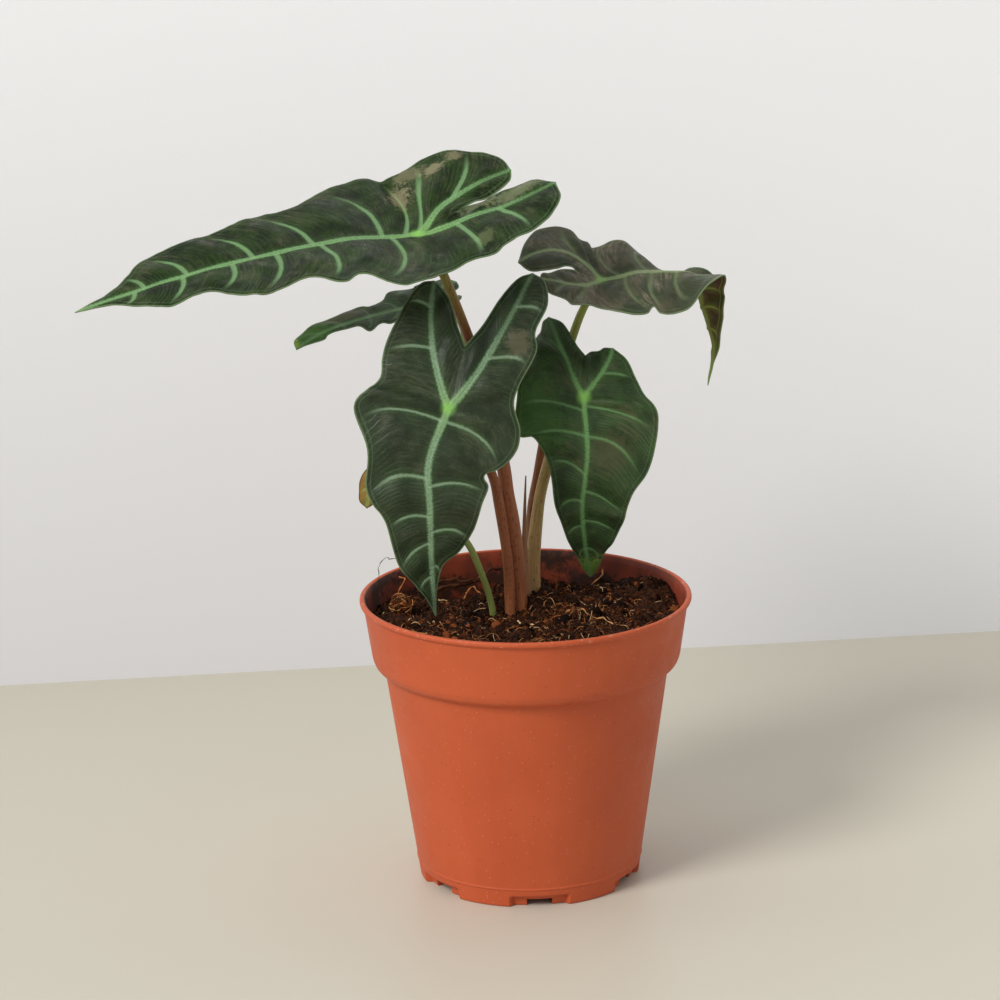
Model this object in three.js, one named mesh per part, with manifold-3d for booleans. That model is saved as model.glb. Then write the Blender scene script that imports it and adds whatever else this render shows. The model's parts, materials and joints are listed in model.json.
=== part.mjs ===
// A young alocasia in a terracotta-coloured plastic nursery pot.
//
// Millimetres, +Z up. The origin is the middle of the pot's underside, on the surface it
// stands on. +X is to the right and -Y is towards someone who looks at the plant's front.
//
// The plant is a short corm in the soil, six leaves that grow from it, each a petiole and
// a heart-shaped blade with deep back lobes, and one papery sheath round the next bud.

import * as THREE from 'three';
import { mergeVertices } from 'three/addons/utils/BufferGeometryUtils.js';
import Module from 'manifold-3d';

const wasm = await Module();
wasm.setup();

// ---------------------------------------------------------------- driving dimensions

const RIM_RADIUS = 60;            // a 12 cm pot, measured over its lip
const POT_HEIGHT = 105.4;
const LIP_HEIGHT = 2.2;
const COLLAR_TOP_RADIUS = 58.7;
const COLLAR_FOOT_RADIUS = 55.8;
const COLLAR_FOOT_HEIGHT = 83.5;
const BODY_TOP_RADIUS = 51.5;
const BODY_TOP_HEIGHT = 79.2;
const BODY_FOOT_RADIUS = 40.4;
const WALL = 1.3;
const FLOOR_UNDERSIDE = 3.6;
const FLOOR_TOP = 4.9;
const GATE_PAD_RADIUS = 9;        // round pad in the middle of the underside

const FOOT_NOTCHES = 6;
const FIRST_NOTCH_DEG = 5;        // from the front, turning to the right
const NOTCH_HALF_DEG = 15.5;
const NOTCH_SLOPE_DEG = 1.6;
const NOTCH_DEPTH = 2.2;
const NOTCH_TOP = 3.3;
const SLOT_HALF_DEG = 6.5;
const SLOT_HEIGHT = 2.5;

const SOIL_LEVEL = 96.5;
const CLEARANCE = 0.3;            // gap between any two pieces that touch
const CORM_CENTRE = [0, 13, 85];
const CORM_RADII = [11, 19, 9];

const BLADE_THICKNESS = 0.7;
const MAIN_RIB_UNDER = 0.9;       // how far a rib stands out of the blade's underside
const MAIN_RIB_OVER = 0.25;
const SIDE_VEIN_UNDER = 0.35;
const SIDE_VEIN_OVER = 0.1;
const PANEL_BULGE = 1.5;          // how far the blade rises between two side veins
const EDGE_RUFFLE = 0.9;
const EDGE_DROOP = 0.9;
const PETIOLE_OVERRUN = 3;

// ---------------------------------------------------------------- small maths

const radians = THREE.MathUtils.degToRad;
const clamp = THREE.MathUtils.clamp;
const mix = THREE.MathUtils.lerp;

function seededRandom(seed) {
  let state = seed;
  return () => {
    state = (state * 1664525 + 1013904223) % 4294967296;
    return state / 4294967296;
  };
}

// A uniform Catmull-Rom curve through rows of numbers; t runs from 0 to rows.length - 1.
function through(rows, t) {
  const last = rows.length - 1;
  const start = Math.min(Math.floor(clamp(t, 0, last)), last - 1);
  const u = clamp(t, 0, last) - start;
  const first = rows[start];
  const second = rows[start + 1];
  const before = start > 0 ? rows[start - 1] : first.map((v, k) => 2 * v - second[k]);
  const after = start + 2 <= last ? rows[start + 2] : second.map((v, k) => 2 * v - first[k]);
  return first.map((b, k) => {
    const a = before[k];
    const c = second[k];
    const d = after[k];
    return 0.5 * (2 * b + (c - a) * u + (2 * a - 5 * b + 4 * c - d) * u * u
      + (3 * b - a - 3 * c + d) * u * u * u);
  });
}

// Straight-line interpolation of y at x, for xs in rising order.
function interpolate(x, xs, ys) {
  if (x <= xs[0]) return ys[0];
  for (let k = 1; k < xs.length; k += 1) {
    if (x <= xs[k]) return mix(ys[k - 1], ys[k], (x - xs[k - 1]) / (xs[k] - xs[k - 1]));
  }
  return ys[ys.length - 1];
}

const vector = (row) => new THREE.Vector3(row[0], row[1], row[2]);

// The direction that a face looks in: degrees round from the front, and up from level.
function lookDirection(azimuthDeg, elevationDeg) {
  const azimuth = radians(azimuthDeg);
  const elevation = radians(elevationDeg);
  return new THREE.Vector3(
    Math.sin(azimuth) * Math.cos(elevation),
    -Math.cos(azimuth) * Math.cos(elevation),
    Math.sin(elevation),
  );
}

// ---------------------------------------------------------------- solids

// Points and triangles that are gathered one at a time.
class Skin {
  constructor() {
    this.points = [];
    this.faces = [];
  }

  point(x, y, z) {
    this.points.push(x, y, z);
    return this.points.length / 3 - 1;
  }

  face(a, b, c) {
    if (a !== b && b !== c && c !== a) this.faces.push(a, b, c);
  }

  quad(a, b, c, d) {
    this.face(a, b, c);
    this.face(a, c, d);
  }

  // Joins two rings of the same length, the first below the second, seen from outside.
  band(lower, upper) {
    lower.forEach((start, k) => {
      const next = (k + 1) % lower.length;
      this.quad(start, lower[next], upper[next], upper[k]);
    });
  }

  // Closes a ring of points with a fan of triangles round a middle point.
  capAbove(loop, middle) {
    const centre = this.point(middle.x, middle.y, middle.z);
    loop.forEach((start, k) => this.face(centre, start, loop[(k + 1) % loop.length]));
  }

  capBelow(loop, middle) {
    this.capAbove([...loop].reverse(), middle);
  }

  geometry() {
    const geometry = new THREE.BufferGeometry();
    geometry.setAttribute('position', new THREE.Float32BufferAttribute(this.points, 3));
    geometry.setIndex(this.faces);
    return geometry;
  }
}

function solidOf(geometry) {
  const bare = geometry.clone();
  bare.deleteAttribute('normal');
  bare.deleteAttribute('uv');
  const merged = mergeVertices(bare, 1e-4);
  return new wasm.Manifold(new wasm.Mesh({
    numProp: 3,
    vertProperties: new Float32Array(merged.attributes.position.array),
    triVerts: new Uint32Array(merged.index.array),
  }));
}

function geometryOf(solid) {
  const mesh = solid.getMesh();
  const geometry = new THREE.BufferGeometry();
  geometry.setAttribute('position', new THREE.BufferAttribute(mesh.vertProperties, 3));
  geometry.setIndex(new THREE.BufferAttribute(mesh.triVerts, 1));
  return geometry;
}

function largestPiece(solid) {
  const pieces = solid.decompose();
  return pieces.reduce((best, piece) => (piece.volume() > best.volume() ? piece : best));
}

// A round stem along a smooth curve; its radius follows the list of radii.
function stemGeometry(path, radii, sides = 10, rings = 12) {
  const skin = new Skin();
  const curve = new THREE.CatmullRomCurve3(path.map(vector), false, 'centripetal');
  const frames = curve.computeFrenetFrames(rings, false);
  const loops = [];
  for (let ring = 0; ring <= rings; ring += 1) {
    const along = ring / rings;
    const centre = curve.getPointAt(along);
    const radius = through(radii.map((r) => [r]), along * (radii.length - 1))[0];
    const loop = [];
    for (let side = 0; side < sides; side += 1) {
      const angle = (2 * Math.PI * side) / sides;
      const spot = centre.clone()
        .addScaledVector(frames.normals[ring], radius * Math.cos(angle))
        .addScaledVector(frames.binormals[ring], radius * Math.sin(angle));
      loop.push(skin.point(spot.x, spot.y, spot.z));
    }
    loops.push(loop);
  }
  for (let ring = 0; ring < rings; ring += 1) skin.band(loops[ring], loops[ring + 1]);
  skin.capBelow(loops[0], curve.getPointAt(0));
  skin.capAbove(loops[rings], curve.getPointAt(1));
  return skin.geometry();
}

// ---------------------------------------------------------------- the pot

// Radius of the pot's plain wall at a height, outside and then inside.
function bodyRadius(z) {
  const up = (z - 1.5) / (BODY_TOP_HEIGHT - 1.5);
  return mix(BODY_FOOT_RADIUS, BODY_TOP_RADIUS, up);
}

// The inside of the wall from the floor to the lip, as [radius, height].
const INSIDE = [
  [bodyRadius(FLOOR_TOP) - WALL - 0.8, FLOOR_TOP],
  [bodyRadius(6) - WALL, 5.8],
  [BODY_TOP_RADIUS - WALL, BODY_TOP_HEIGHT + 0.6],
  [BODY_TOP_RADIUS + 1.2, BODY_TOP_HEIGHT + 1.9],
  [COLLAR_FOOT_RADIUS - WALL - 0.6, COLLAR_FOOT_HEIGHT - 1],
  [COLLAR_FOOT_RADIUS - WALL, COLLAR_FOOT_HEIGHT + 0.6],
  [COLLAR_TOP_RADIUS - WALL, POT_HEIGHT - LIP_HEIGHT],
];

function insideRadius(z) {
  return interpolate(z, INSIDE.map((row) => row[1]), INSIDE.map((row) => row[0]));
}

// The pot's section from the underside's pad, round the outside and back to the floor. The
// third value says how much of the notch's step a point takes.
function potSection() {
  const collarTop = POT_HEIGHT - LIP_HEIGHT;
  const outside = [
    [GATE_PAD_RADIUS, 0, 0],
    [GATE_PAD_RADIUS + 0.5, 0.5, 0],
    [GATE_PAD_RADIUS + 0.5, FLOOR_UNDERSIDE, 0],
    [bodyRadius(0) - 2.2, FLOOR_UNDERSIDE, 1],
    [bodyRadius(0) - 1.7, 0, 1],
    [bodyRadius(0) - 0.5, 0, 1],
    [bodyRadius(0.5), 0.5, 1],
    [bodyRadius(NOTCH_TOP), NOTCH_TOP, 1],
    [bodyRadius(4.2), 4.2, 0],
    [bodyRadius(6.6), 6.6, 0],
    [bodyRadius(7) + 0.25, 7, 0],
    [bodyRadius(7.4), 7.4, 0],
    [BODY_TOP_RADIUS, BODY_TOP_HEIGHT, 0],
    [BODY_TOP_RADIUS + 1.6, BODY_TOP_HEIGHT + 0.7, 0],
    [COLLAR_FOOT_RADIUS - 0.9, COLLAR_FOOT_HEIGHT - 2.2, 0],
    [COLLAR_FOOT_RADIUS, COLLAR_FOOT_HEIGHT, 0],
    [COLLAR_TOP_RADIUS, collarTop + 0.1, 0],
    [RIM_RADIUS - 0.4, collarTop + 0.4, 0],
    [RIM_RADIUS, collarTop + 0.9, 0],
    [RIM_RADIUS, POT_HEIGHT - 0.5, 0],
    [RIM_RADIUS - 0.5, POT_HEIGHT, 0],
    [RIM_RADIUS - 1.5, POT_HEIGHT, 0],
    [RIM_RADIUS - 2, POT_HEIGHT - 0.5, 0],
  ];
  const inside = INSIDE.map((row) => [row[0], row[1], 0]).reverse();
  return [...outside, ...inside];
}

// Angles round the pot, closer together at the notches' edges.
function potAngles() {
  const edge = NOTCH_HALF_DEG;
  const foot = NOTCH_HALF_DEG - NOTCH_SLOPE_DEG;
  const steps = [-28, -22, -edge, -foot, -7, 0, 7, foot, edge, 22];
  const angles = [];
  for (let notch = 0; notch < FOOT_NOTCHES; notch += 1) {
    const middle = FIRST_NOTCH_DEG + (notch * 360) / FOOT_NOTCHES;
    steps.forEach((step) => {
      const inNotch = Math.abs(step) < edge ? 1 : 0;
      angles.push({ turn: radians(middle + step), inNotch });
    });
  }
  return angles;
}

function drainSlot(notch) {
  const middle = radians(FIRST_NOTCH_DEG + (notch * 360) / FOOT_NOTCHES);
  const width = 2 * BODY_FOOT_RADIUS * Math.sin(radians(SLOT_HALF_DEG));
  const cutter = new THREE.BoxGeometry(width, 16, SLOT_HEIGHT * 2);
  cutter.translate(0, -BODY_FOOT_RADIUS, 0);
  cutter.rotateZ(middle);
  return solidOf(cutter);
}

function potGeometry() {
  const skin = new Skin();
  const section = potSection();
  const angles = potAngles();
  const loops = section.map(([radius, z, step]) => angles.map(({ turn, inNotch }) => {
    const r = radius - step * inNotch * NOTCH_DEPTH;
    return skin.point(r * Math.sin(turn), -r * Math.cos(turn), z);
  }));
  for (let k = 0; k + 1 < loops.length; k += 1) skin.band(loops[k], loops[k + 1]);
  skin.capBelow(loops[0], new THREE.Vector3(0, 0, 0));
  skin.capAbove(loops[loops.length - 1], new THREE.Vector3(0, 0, FLOOR_TOP));
  let pot = solidOf(skin.geometry());
  for (let notch = 0; notch < FOOT_NOTCHES; notch += 1) pot = pot.subtract(drainSlot(notch));
  return geometryOf(pot);
}

// ---------------------------------------------------------------- the leaves
//
// A blade is drawn flat first: y runs along the midrib from the petiole to the tip, x runs
// to the blade's right, and the back lobes lie at negative y. Then the flat drawing is laid
// on a bent midrib. A midrib knot is [x, y, z, the way its upper face looks (azimuth and
// elevation), how far the left and the right half are folded up].
//
// A half blade has a row of side veins. `roots` says where each vein leaves the midrib, or,
// at negative values, the lobe's own rib, in millimetres from the petiole. `edge` lists the
// outline from the tip to the lobe's end: a point between two veins, a vein's end, and so
// on. `lobe` is where the lobe ends, `bend` is the middle of its rib, and `inner` lists the
// outline from the bottom of the notch between the lobes to the lobe's end.

const LEAVES = [
  {
    name: 'leaf_1',
    midrib: [
      [8, 24, 257, 0, 72, 0, 9], [-7, 16, 250, 0, 74, 0, 9], [-22, 9, 244, 0, 76, 0, 9],
      [-36, 3, 237, 0, 78, 0, 9], [-61, -5, 237, 0, 78, 0, 9], [-87, -14, 234, 0, 76, 0, 9],
      [-116, -24, 229, 0, 74, 0, 9], [-153, -38, 220, 0, 70, 0, 9],
    ],
    petioleKnot: 3,
    notch: -16,
    right: {
      roots: [100, 84, 60, 38, 13, 5, 0, -20],
      edge: [[5, 110], [10, 103], [13, 99], [17, 92], [19, 80], [21, 69], [24, 58], [26, 49],
        [27, 36], [38, 22], [42, 9], [38, -6], [33.5, -14], [35, -22], [31.5, -32],
        [24, -40.5], [14, -45]],
      lobe: [6, -44],
      bend: [7.5, -21.5],
      inner: [[0.5, -24], [0.5, -32], [1.5, -40]],
    },
    left: {
      roots: [104, 86, 68, 52, 36, 10, 0, -14, -30],
      edge: [[-3, 113], [-7, 107], [-13, 100], [-15, 94], [-14, 82], [-19, 75], [-25, 68],
        [-26, 61], [-23, 47], [-31, 37], [-30, 29], [-40, 17], [-38, 7], [-32, -1], [-31, -6],
        [-33, -13], [-32, -24], [-29, -34], [-22, -46]],
      lobe: [-12, -51],
      bend: [-9, -24],
      inner: [[-0.5, -26], [-1, -37], [-4, -46.5]],
    },
    petiole: [
      [-2, 5.5, 86], [-2, 4.5, 97], [-3, 4.5, 116], [-4.5, 4.5, 132], [-6, 4, 142],
      [-7.5, 3.5, 154], [-12, 2, 177], [-18, 2, 198], [-26.5, 3, 221], [-31.5, 3, 232],
      [-36, 3, 237],
    ],
    petioleRadii: [2.9, 2.8, 2.3, 1.8, 1.5],
  },
  {
    name: 'leaf_2',
    midrib: [
      [-12, 4, 227, 0, -2, 0, 0], [-16, -5, 214, 0, 3, 0, 0], [-20, -13, 200, 0, 8, 0, 0],
      [-26, -21, 180, 0, 10, 0, 0], [-33, -26, 162, 0, 10, 0, 0], [-33, -27, 144, 0, 8, 0, 0],
      [-33, -22, 122, 0, 2, 0, 0], [-32, -14, 101, 0, 0, 0, 0],
    ],
    petioleKnot: 3,
    notch: -23,
    right: {
      roots: [64, 50, 40, 26, 5, 0, -22, -37],
      edge: [[3, 74], [6, 69], [9, 64], [12, 59], [14, 50], [16, 42], [20, 34], [22, 28],
        [22, 20], [31, 12], [29, 4], [26, -4], [27, -11], [27, -18], [25, -28], [23, -36],
        [20, -41]],
      lobe: [16, -43],
      bend: [11, -20],
      inner: [[4, -29], [7, -35], [11, -40]],
    },
    left: {
      roots: [60, 46, 29, 5, 0, -22, -44],
      edge: [[-1, 72], [-4, 60], [-10, 54], [-15, 46], [-18, 37], [-21, 31], [-20, 24],
        [-27, 8], [-27, 1], [-22, -7], [-22, -14], [-25, -27], [-23, -34], [-25, -46],
        [-22, -54]],
      lobe: [-17, -56],
      bend: [-9, -22],
      inner: [[-4, -31], [-8, -43], [-12, -52]],
    },
    petiole: [
      [-5, 1, 86], [-5.5, 0, 97], [-6, 0, 115], [-7, 0, 125], [-9, -0.5, 139],
      [-10.5, -1.5, 148], [-13.5, -3, 156], [-18, -9, 167], [-22.5, -16, 176], [-26, -21, 180],
    ],
    petioleRadii: [1.9, 1.9, 1.8, 1.7, 1.5],
  },
  {
    name: 'leaf_3',
    midrib: [
      [23, 32, 198, 0, -8, 0, 0], [23, 20, 189, 2, 4, 0, 0], [22, 8, 176, 4, 10, 0, 0],
      [23, 3, 157, 4, 12, 0, 0], [21, 4, 137, 0, 6, 0, 0], [22, 9, 121, -3, -4, 0, 0],
      [24, 17, 106, -4, -8, 0, 0],
    ],
    petioleKnot: 2,
    notch: -18,
    right: {
      roots: [58, 48, 38, 28, 14, 5, 0, -18],
      edge: [[2, 70], [4, 62], [6, 55], [7, 51], [8, 46], [10, 40], [12, 31], [15, 22],
        [19, 13], [24, 12], [25, 6], [24, 0], [23, -7], [20, -17], [18, -25], [16, -30],
        [15, -34]],
      lobe: [13, -36],
      bend: [7, -15],
      inner: [[3, -22], [6, -30], [9, -34]],
    },
    left: {
      roots: [58, 46, 34, 14, 3, 0, -12],
      edge: [[-3, 70], [-6, 63], [-10, 57], [-13, 52], [-15, 47], [-16, 43], [-18, 33],
        [-22, 26], [-24, 20], [-26, 13], [-26, 7], [-23, 0], [-20, -7], [-18, -12], [-15, -17]],
      lobe: [-10, -21],
      bend: [-6, -10],
      inner: [[-2, -19], [-5, -20], [-7, -21]],
    },
    petiole: [
      [2.5, 19, 86], [3, 20, 98], [3, 20, 110], [3.5, 20, 118], [4.5, 20, 127],
      [6, 20, 137], [9, 19, 149], [12.5, 17, 160], [18, 13, 171], [22, 8, 176],
    ],
    petioleRadii: [2.9, 2.6, 2.2, 1.9, 1.5],
  },
  {
    name: 'leaf_4',
    midrib: [
      [0, 22, 221, 0, 62, 0, 0], [14, 26, 220, 0, 64, 0, 0], [29, 30, 214, 0, 66, 0, 4],
      [42, 32, 216, 0, 64, -2, 4], [53, 34, 216, 4, 60, -44, 4],
      [62, 36, 215, 25, 56, -88, 36], [64.5, 38, 211.5, 60, 48, 18, 84],
      [65.5, 39, 204.5, 138, 4, 80, 14], [68, 39, 196, 142, 0, 100, 0],
      [70, 38, 188, 142, -4, 100, 0], [69.5, 37, 181.5, 142, -4, 60, 0],
      [68, 36, 173, 142, -4, 0, 0],
    ],
    petioleKnot: 2,
    notch: -9,
    right: {
      roots: [66, 57, 49, 42, 35, 28, 19, 9, 0, -8, -18],
      edge: [[0.5, 73.5], [1, 70], [2.5, 65], [4.5, 60], [7, 55], [9, 51], [10, 46.5],
        [9.5, 42.5], [10.5, 39.5], [12.5, 36.5], [20, 33.5], [24, 29], [24, 24], [24, 17.5],
        [21.5, 15.5], [24.5, 11.5], [25, 6.5], [18.5, -1], [18.5, -6], [20, -13], [19.5, -17.5],
        [15.5, -24], [11, -26]],
      lobe: [7, -26],
      bend: [9, -12],
      inner: [[-1, -12.5], [2.5, -19], [4, -24]],
    },
    left: {
      roots: [66, 57, 49, 42, 35, 27, 18, 8, 0, -12],
      edge: [[-1, 73], [-1.5, 69], [-2.5, 65], [-4, 60], [-6, 55], [-8.5, 51], [-10.5, 46.5],
        [-12, 43], [-8, 38.5], [-6.5, 35.5], [-13, 31.5], [-17.5, 27], [-19.5, 21],
        [-21, 16.5], [-21, 11.5], [-22, 1], [-23, -2], [-24, -6], [-26, -11],
        [-24.5, -18], [-14, -26]],
      lobe: [-3, -31.5],
      bend: [-10, -12],
      inner: [[-3, -12], [1, -18.5], [2.5, -27]],
    },
    petiole: [
      [3, 25, 86], [3, 26, 99], [2.5, 26, 110], [2.5, 26, 122], [3, 26, 131], [5, 26, 142],
      [7, 27, 153], [11, 31, 171], [17.5, 35, 189], [22.5, 36, 202], [29, 30, 214],
    ],
    petioleRadii: [1.9, 1.8, 1.7, 1.6, 1.4],
  },
  {
    name: 'leaf_5',
    midrib: [
      [-22, 47, 207.5, 0, 76, 0, 8], [-27.5, 41, 206.5, 0, 76, 0, 8],
      [-33, 36, 205.5, 0, 76, 0, 8], [-44, 33.5, 203.5, 0, 76, 0, 8],
      [-56.5, 31, 201, 0, 74, 0, 8], [-69.5, 29, 197.5, -3, 66, 0, 6],
      [-77.5, 26, 194, -6, 52, 0, 4], [-81.5, 24, 191.5, -10, 40, 0, 0],
    ],
    petioleKnot: 2,
    notch: -6,
    right: {
      roots: [42, 33, 23, 12, 0, -9],
      edge: [[3, 51], [4.5, 47], [5.5, 43], [6, 38], [7, 31], [8.5, 24.5], [6.5, 21], [9, 16],
        [12.5, 12.5], [12.5, 4], [12.5, -6], [11, -14], [9, -18.5]],
      lobe: [5.5, -19.5],
      bend: [5, -10],
      inner: [[1, -9], [1.5, -13], [2.5, -17.5]],
    },
    left: {
      roots: [42, 33, 23, 12, 0, -9],
      edge: [[-1, 49], [-3, 42], [-2, 39], [-2.5, 32], [-4, 27.5], [-8.5, 24.5],
        [-6, 19.5], [-7.5, 16.5], [-6, 9], [-6.5, 1], [-6, -3], [-5.5, -7], [-5, -10.5]],
      lobe: [-3.5, -12.5],
      bend: [-3, -6],
      inner: [[-1, -8], [-1, -10], [-2, -12]],
    },
    petiole: [
      [-4.5, 13, 86], [-4.5, 13, 103], [-5, 13.5, 122], [-6.5, 14.5, 140.5], [-9.5, 15, 156],
      [-13, 16, 169.5], [-16, 18, 180.5], [-19.5, 21, 191], [-21.5, 25, 199],
      [-24.5, 29, 203.5], [-28.5, 33, 205], [-33, 36, 205.5],
    ],
    petioleRadii: [1.4, 1.3, 1.2, 1.1, 1],
  },
  {
    name: 'leaf_6',
    midrib: [
      [-33, -6, 160, 0, 40, 0, 0], [-37, -8, 158, 0, 48, 0, 0], [-42, -10, 155, 0, 50, 0, 0],
      [-48, -11, 153, 0, 40, 0, 0], [-54, -11, 149, -10, 20, 0, 0], [-56, -10, 141, -10, 0, 0, 0],
    ],
    petioleKnot: 2,
    notch: -4,
    right: {
      roots: [15, 8, 0],
      edge: [[3, 20], [4, 16], [6, 12], [7, 8], [8, 4], [8, 0], [6, -4]],
      lobe: [4, -7],
      bend: [3, -3],
      inner: [[1, -5], [1, -6], [2, -7]],
    },
    left: {
      roots: [15, 8, 0],
      edge: [[-2, 20], [-4, 16], [-6, 12], [-7, 8], [-8, 4], [-8, 0], [-6, -4]],
      lobe: [-4, -7],
      bend: [-3, -3],
      inner: [[-1, -5], [-1, -6], [-2, -7]],
    },
    petiole: [
      [-10, 1, 86], [-11.5, -1, 96], [-12.5, -2, 103], [-14.5, -4, 111], [-17.5, -6, 120],
      [-20.5, -8, 127], [-27, -10, 136], [-33.5, -11, 146], [-42, -10, 155],
    ],
    petioleRadii: [1.3, 1.2, 1.2, 1.1, 1],
  },
];

// Where the mesh has points between two side veins, and from a rib out to the edge. The
// closest ones stand beside a vein, so that the vein is a narrow ridge.
const VEIN_STEPS = [0, 0.15, 0.5, 0.85];
const RIB_STEPS = [0, 0.1, 0.35, 0.65, 1];

// The bent midrib: places a flat point of the blade in space.
class Midrib {
  constructor(knots, petioleKnot) {
    const perKnot = 40;
    const count = (knots.length - 1) * perKnot + 1;
    const faces = knots.map((knot) => lookDirection(knot[3], knot[4]).toArray());
    this.samples = [];
    for (let k = 0; k < count; k += 1) {
      const t = k / perKnot;
      const row = through(knots, t);
      this.samples.push({
        place: vector(row),
        face: vector(through(faces, t)),
        fold: [radians(row[5]), radians(row[6])],
      });
    }
    this.measure(petioleKnot * perKnot);
  }

  measure(petioleSample) {
    const { samples } = this;
    let run = 0;
    samples.forEach((sample, k) => {
      if (k > 0) run += sample.place.distanceTo(samples[k - 1].place);
      sample.y = run;
      const ahead = samples[Math.min(k + 1, samples.length - 1)].place;
      const behind = samples[Math.max(k - 1, 0)].place;
      sample.along = ahead.clone().sub(behind).normalize();
      sample.across = sample.along.clone().cross(sample.face).normalize();
      sample.up = sample.across.clone().cross(sample.along);
    });
    const zero = samples[petioleSample].y;
    samples.forEach((sample) => { sample.y -= zero; });
    this.length = samples[samples.length - 1].y;
    this.ys = samples.map((sample) => sample.y);
  }

  at(y) {
    const last = this.ys.length - 1;
    const inside = clamp(y, this.ys[0], this.ys[last]);
    let k = 1;
    while (k < last && this.ys[k] < inside) k += 1;
    const u = (inside - this.ys[k - 1]) / (this.ys[k] - this.ys[k - 1]);
    const low = this.samples[k - 1];
    const high = this.samples[k];
    return {
      place: low.place.clone().lerp(high.place, u).addScaledVector(high.along, y - inside),
      across: low.across.clone().lerp(high.across, u).normalize(),
      up: low.up.clone().lerp(high.up, u).normalize(),
      fold: [mix(low.fold[0], high.fold[0], u), mix(low.fold[1], high.fold[1], u)],
    };
  }

  place(x, y, rise) {
    const here = this.at(y);
    const fold = x > 0 ? here.fold[1] : here.fold[0];
    return here.place
      .addScaledVector(here.across, Math.cos(fold) * x)
      .addScaledVector(here.up, Math.sin(fold) * Math.abs(x) + rise);
  }
}

// A lobe's rib: a curve from the petiole through its bend to the lobe's end.
function lobeRib(half) {
  const pull = half.bend.map((b, k) => 2 * b - 0.5 * half.lobe[k]);
  const steps = 60;
  const runs = [0];
  const spots = [[0, 0]];
  for (let k = 1; k <= steps; k += 1) {
    const u = k / steps;
    const spot = [0, 1].map((i) => 2 * u * (1 - u) * pull[i] + u * u * half.lobe[i]);
    const before = spots[k - 1];
    runs.push(runs[k - 1] + Math.hypot(spot[0] - before[0], spot[1] - before[1]));
    spots.push(spot);
  }
  return {
    length: runs[steps],
    at: (run) => [0, 1].map((i) => interpolate(run, runs, spots.map((spot) => spot[i]))),
  };
}

// How large a rib still is at a share of its run from the petiole to its end.
const ribSize = (share) => mix(1, 0.12, clamp(share, 0, 1));

// One point of a blade that isn't yet bent: flat place, rise, and rib relief on both faces.
function bladePoint(from, to, out, vein, main, sag) {
  const width = Math.hypot(to[0] - from[0], to[1] - from[1]);
  const wide = Math.min(1, width / 18);
  const panel = Math.sin(Math.PI * vein) ** 2;
  const bulge = PANEL_BULGE * Math.sin(Math.PI * out) + EDGE_RUFFLE * out ** 3;
  const onVein = Math.abs(vein - Math.round(vein)) < 1e-6;
  const veinSize = out > 0 && onVein ? 1 - out : 0;
  const mainSize = out === 0 ? main : 0;
  return {
    x: mix(from[0], to[0], out),
    y: mix(from[1], to[1], out) - sag * width * Math.sin(Math.PI * out),
    rise: wide * (panel * bulge - EDGE_DROOP * out ** 2),
    over: MAIN_RIB_OVER * mainSize + SIDE_VEIN_OVER * veinSize,
    under: MAIN_RIB_UNDER * mainSize + SIDE_VEIN_UNDER * veinSize,
  };
}

// The line from the petiole to the notch has no vein.
function makePlain(spot) {
  spot.under = 0;
  spot.over = 0;
}

// The grids of one half blade: `outer` from the midrib and lobe rib to the outline, and
// `inner` from the lobe rib to the notch between the lobes.
function halfBlade(half, length, notch) {
  const rib = lobeRib(half);
  const roots = [length, ...half.roots, -rib.length];
  const petioleVein = half.roots.indexOf(0) + 1;
  const edge = [[0, length], ...half.edge, half.lobe];
  const inner = [[0, notch], ...half.inner, half.lobe];
  const grids = { outer: [], inner: [], midribColumns: 0 };
  const veins = roots.length - 1;
  for (let vein = 0; vein <= veins; vein += 1) {
    const steps = vein === veins ? [0] : VEIN_STEPS;
    steps.forEach((step) => {
      const at = vein + step;
      const root = step === 0 ? roots[vein] : mix(roots[vein], roots[vein + 1], step);
      const from = root >= 0 ? [0, root] : rib.at(-root);
      const main = ribSize(root >= 0 ? root / length : -root / rib.length);
      const sag = 0.1 * clamp((root + 5) / 15, 0, 1);
      const to = through(edge, at * 2);
      grids.outer.push(RIB_STEPS.map((out) => bladePoint(from, to, out, at, main, sag)));
      if (at <= petioleVein) grids.midribColumns += 1;
      if (at < petioleVein) return;
      const share = -root / rib.length;
      const back = through(inner, share * (inner.length - 1));
      const outs = RIB_STEPS.map((out) => bladePoint(from, back, out, at, main, 0));
      if (at === petioleVein) outs.slice(1).forEach(makePlain);
      grids.inner.push(outs);
    });
  }
  return grids;
}

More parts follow.
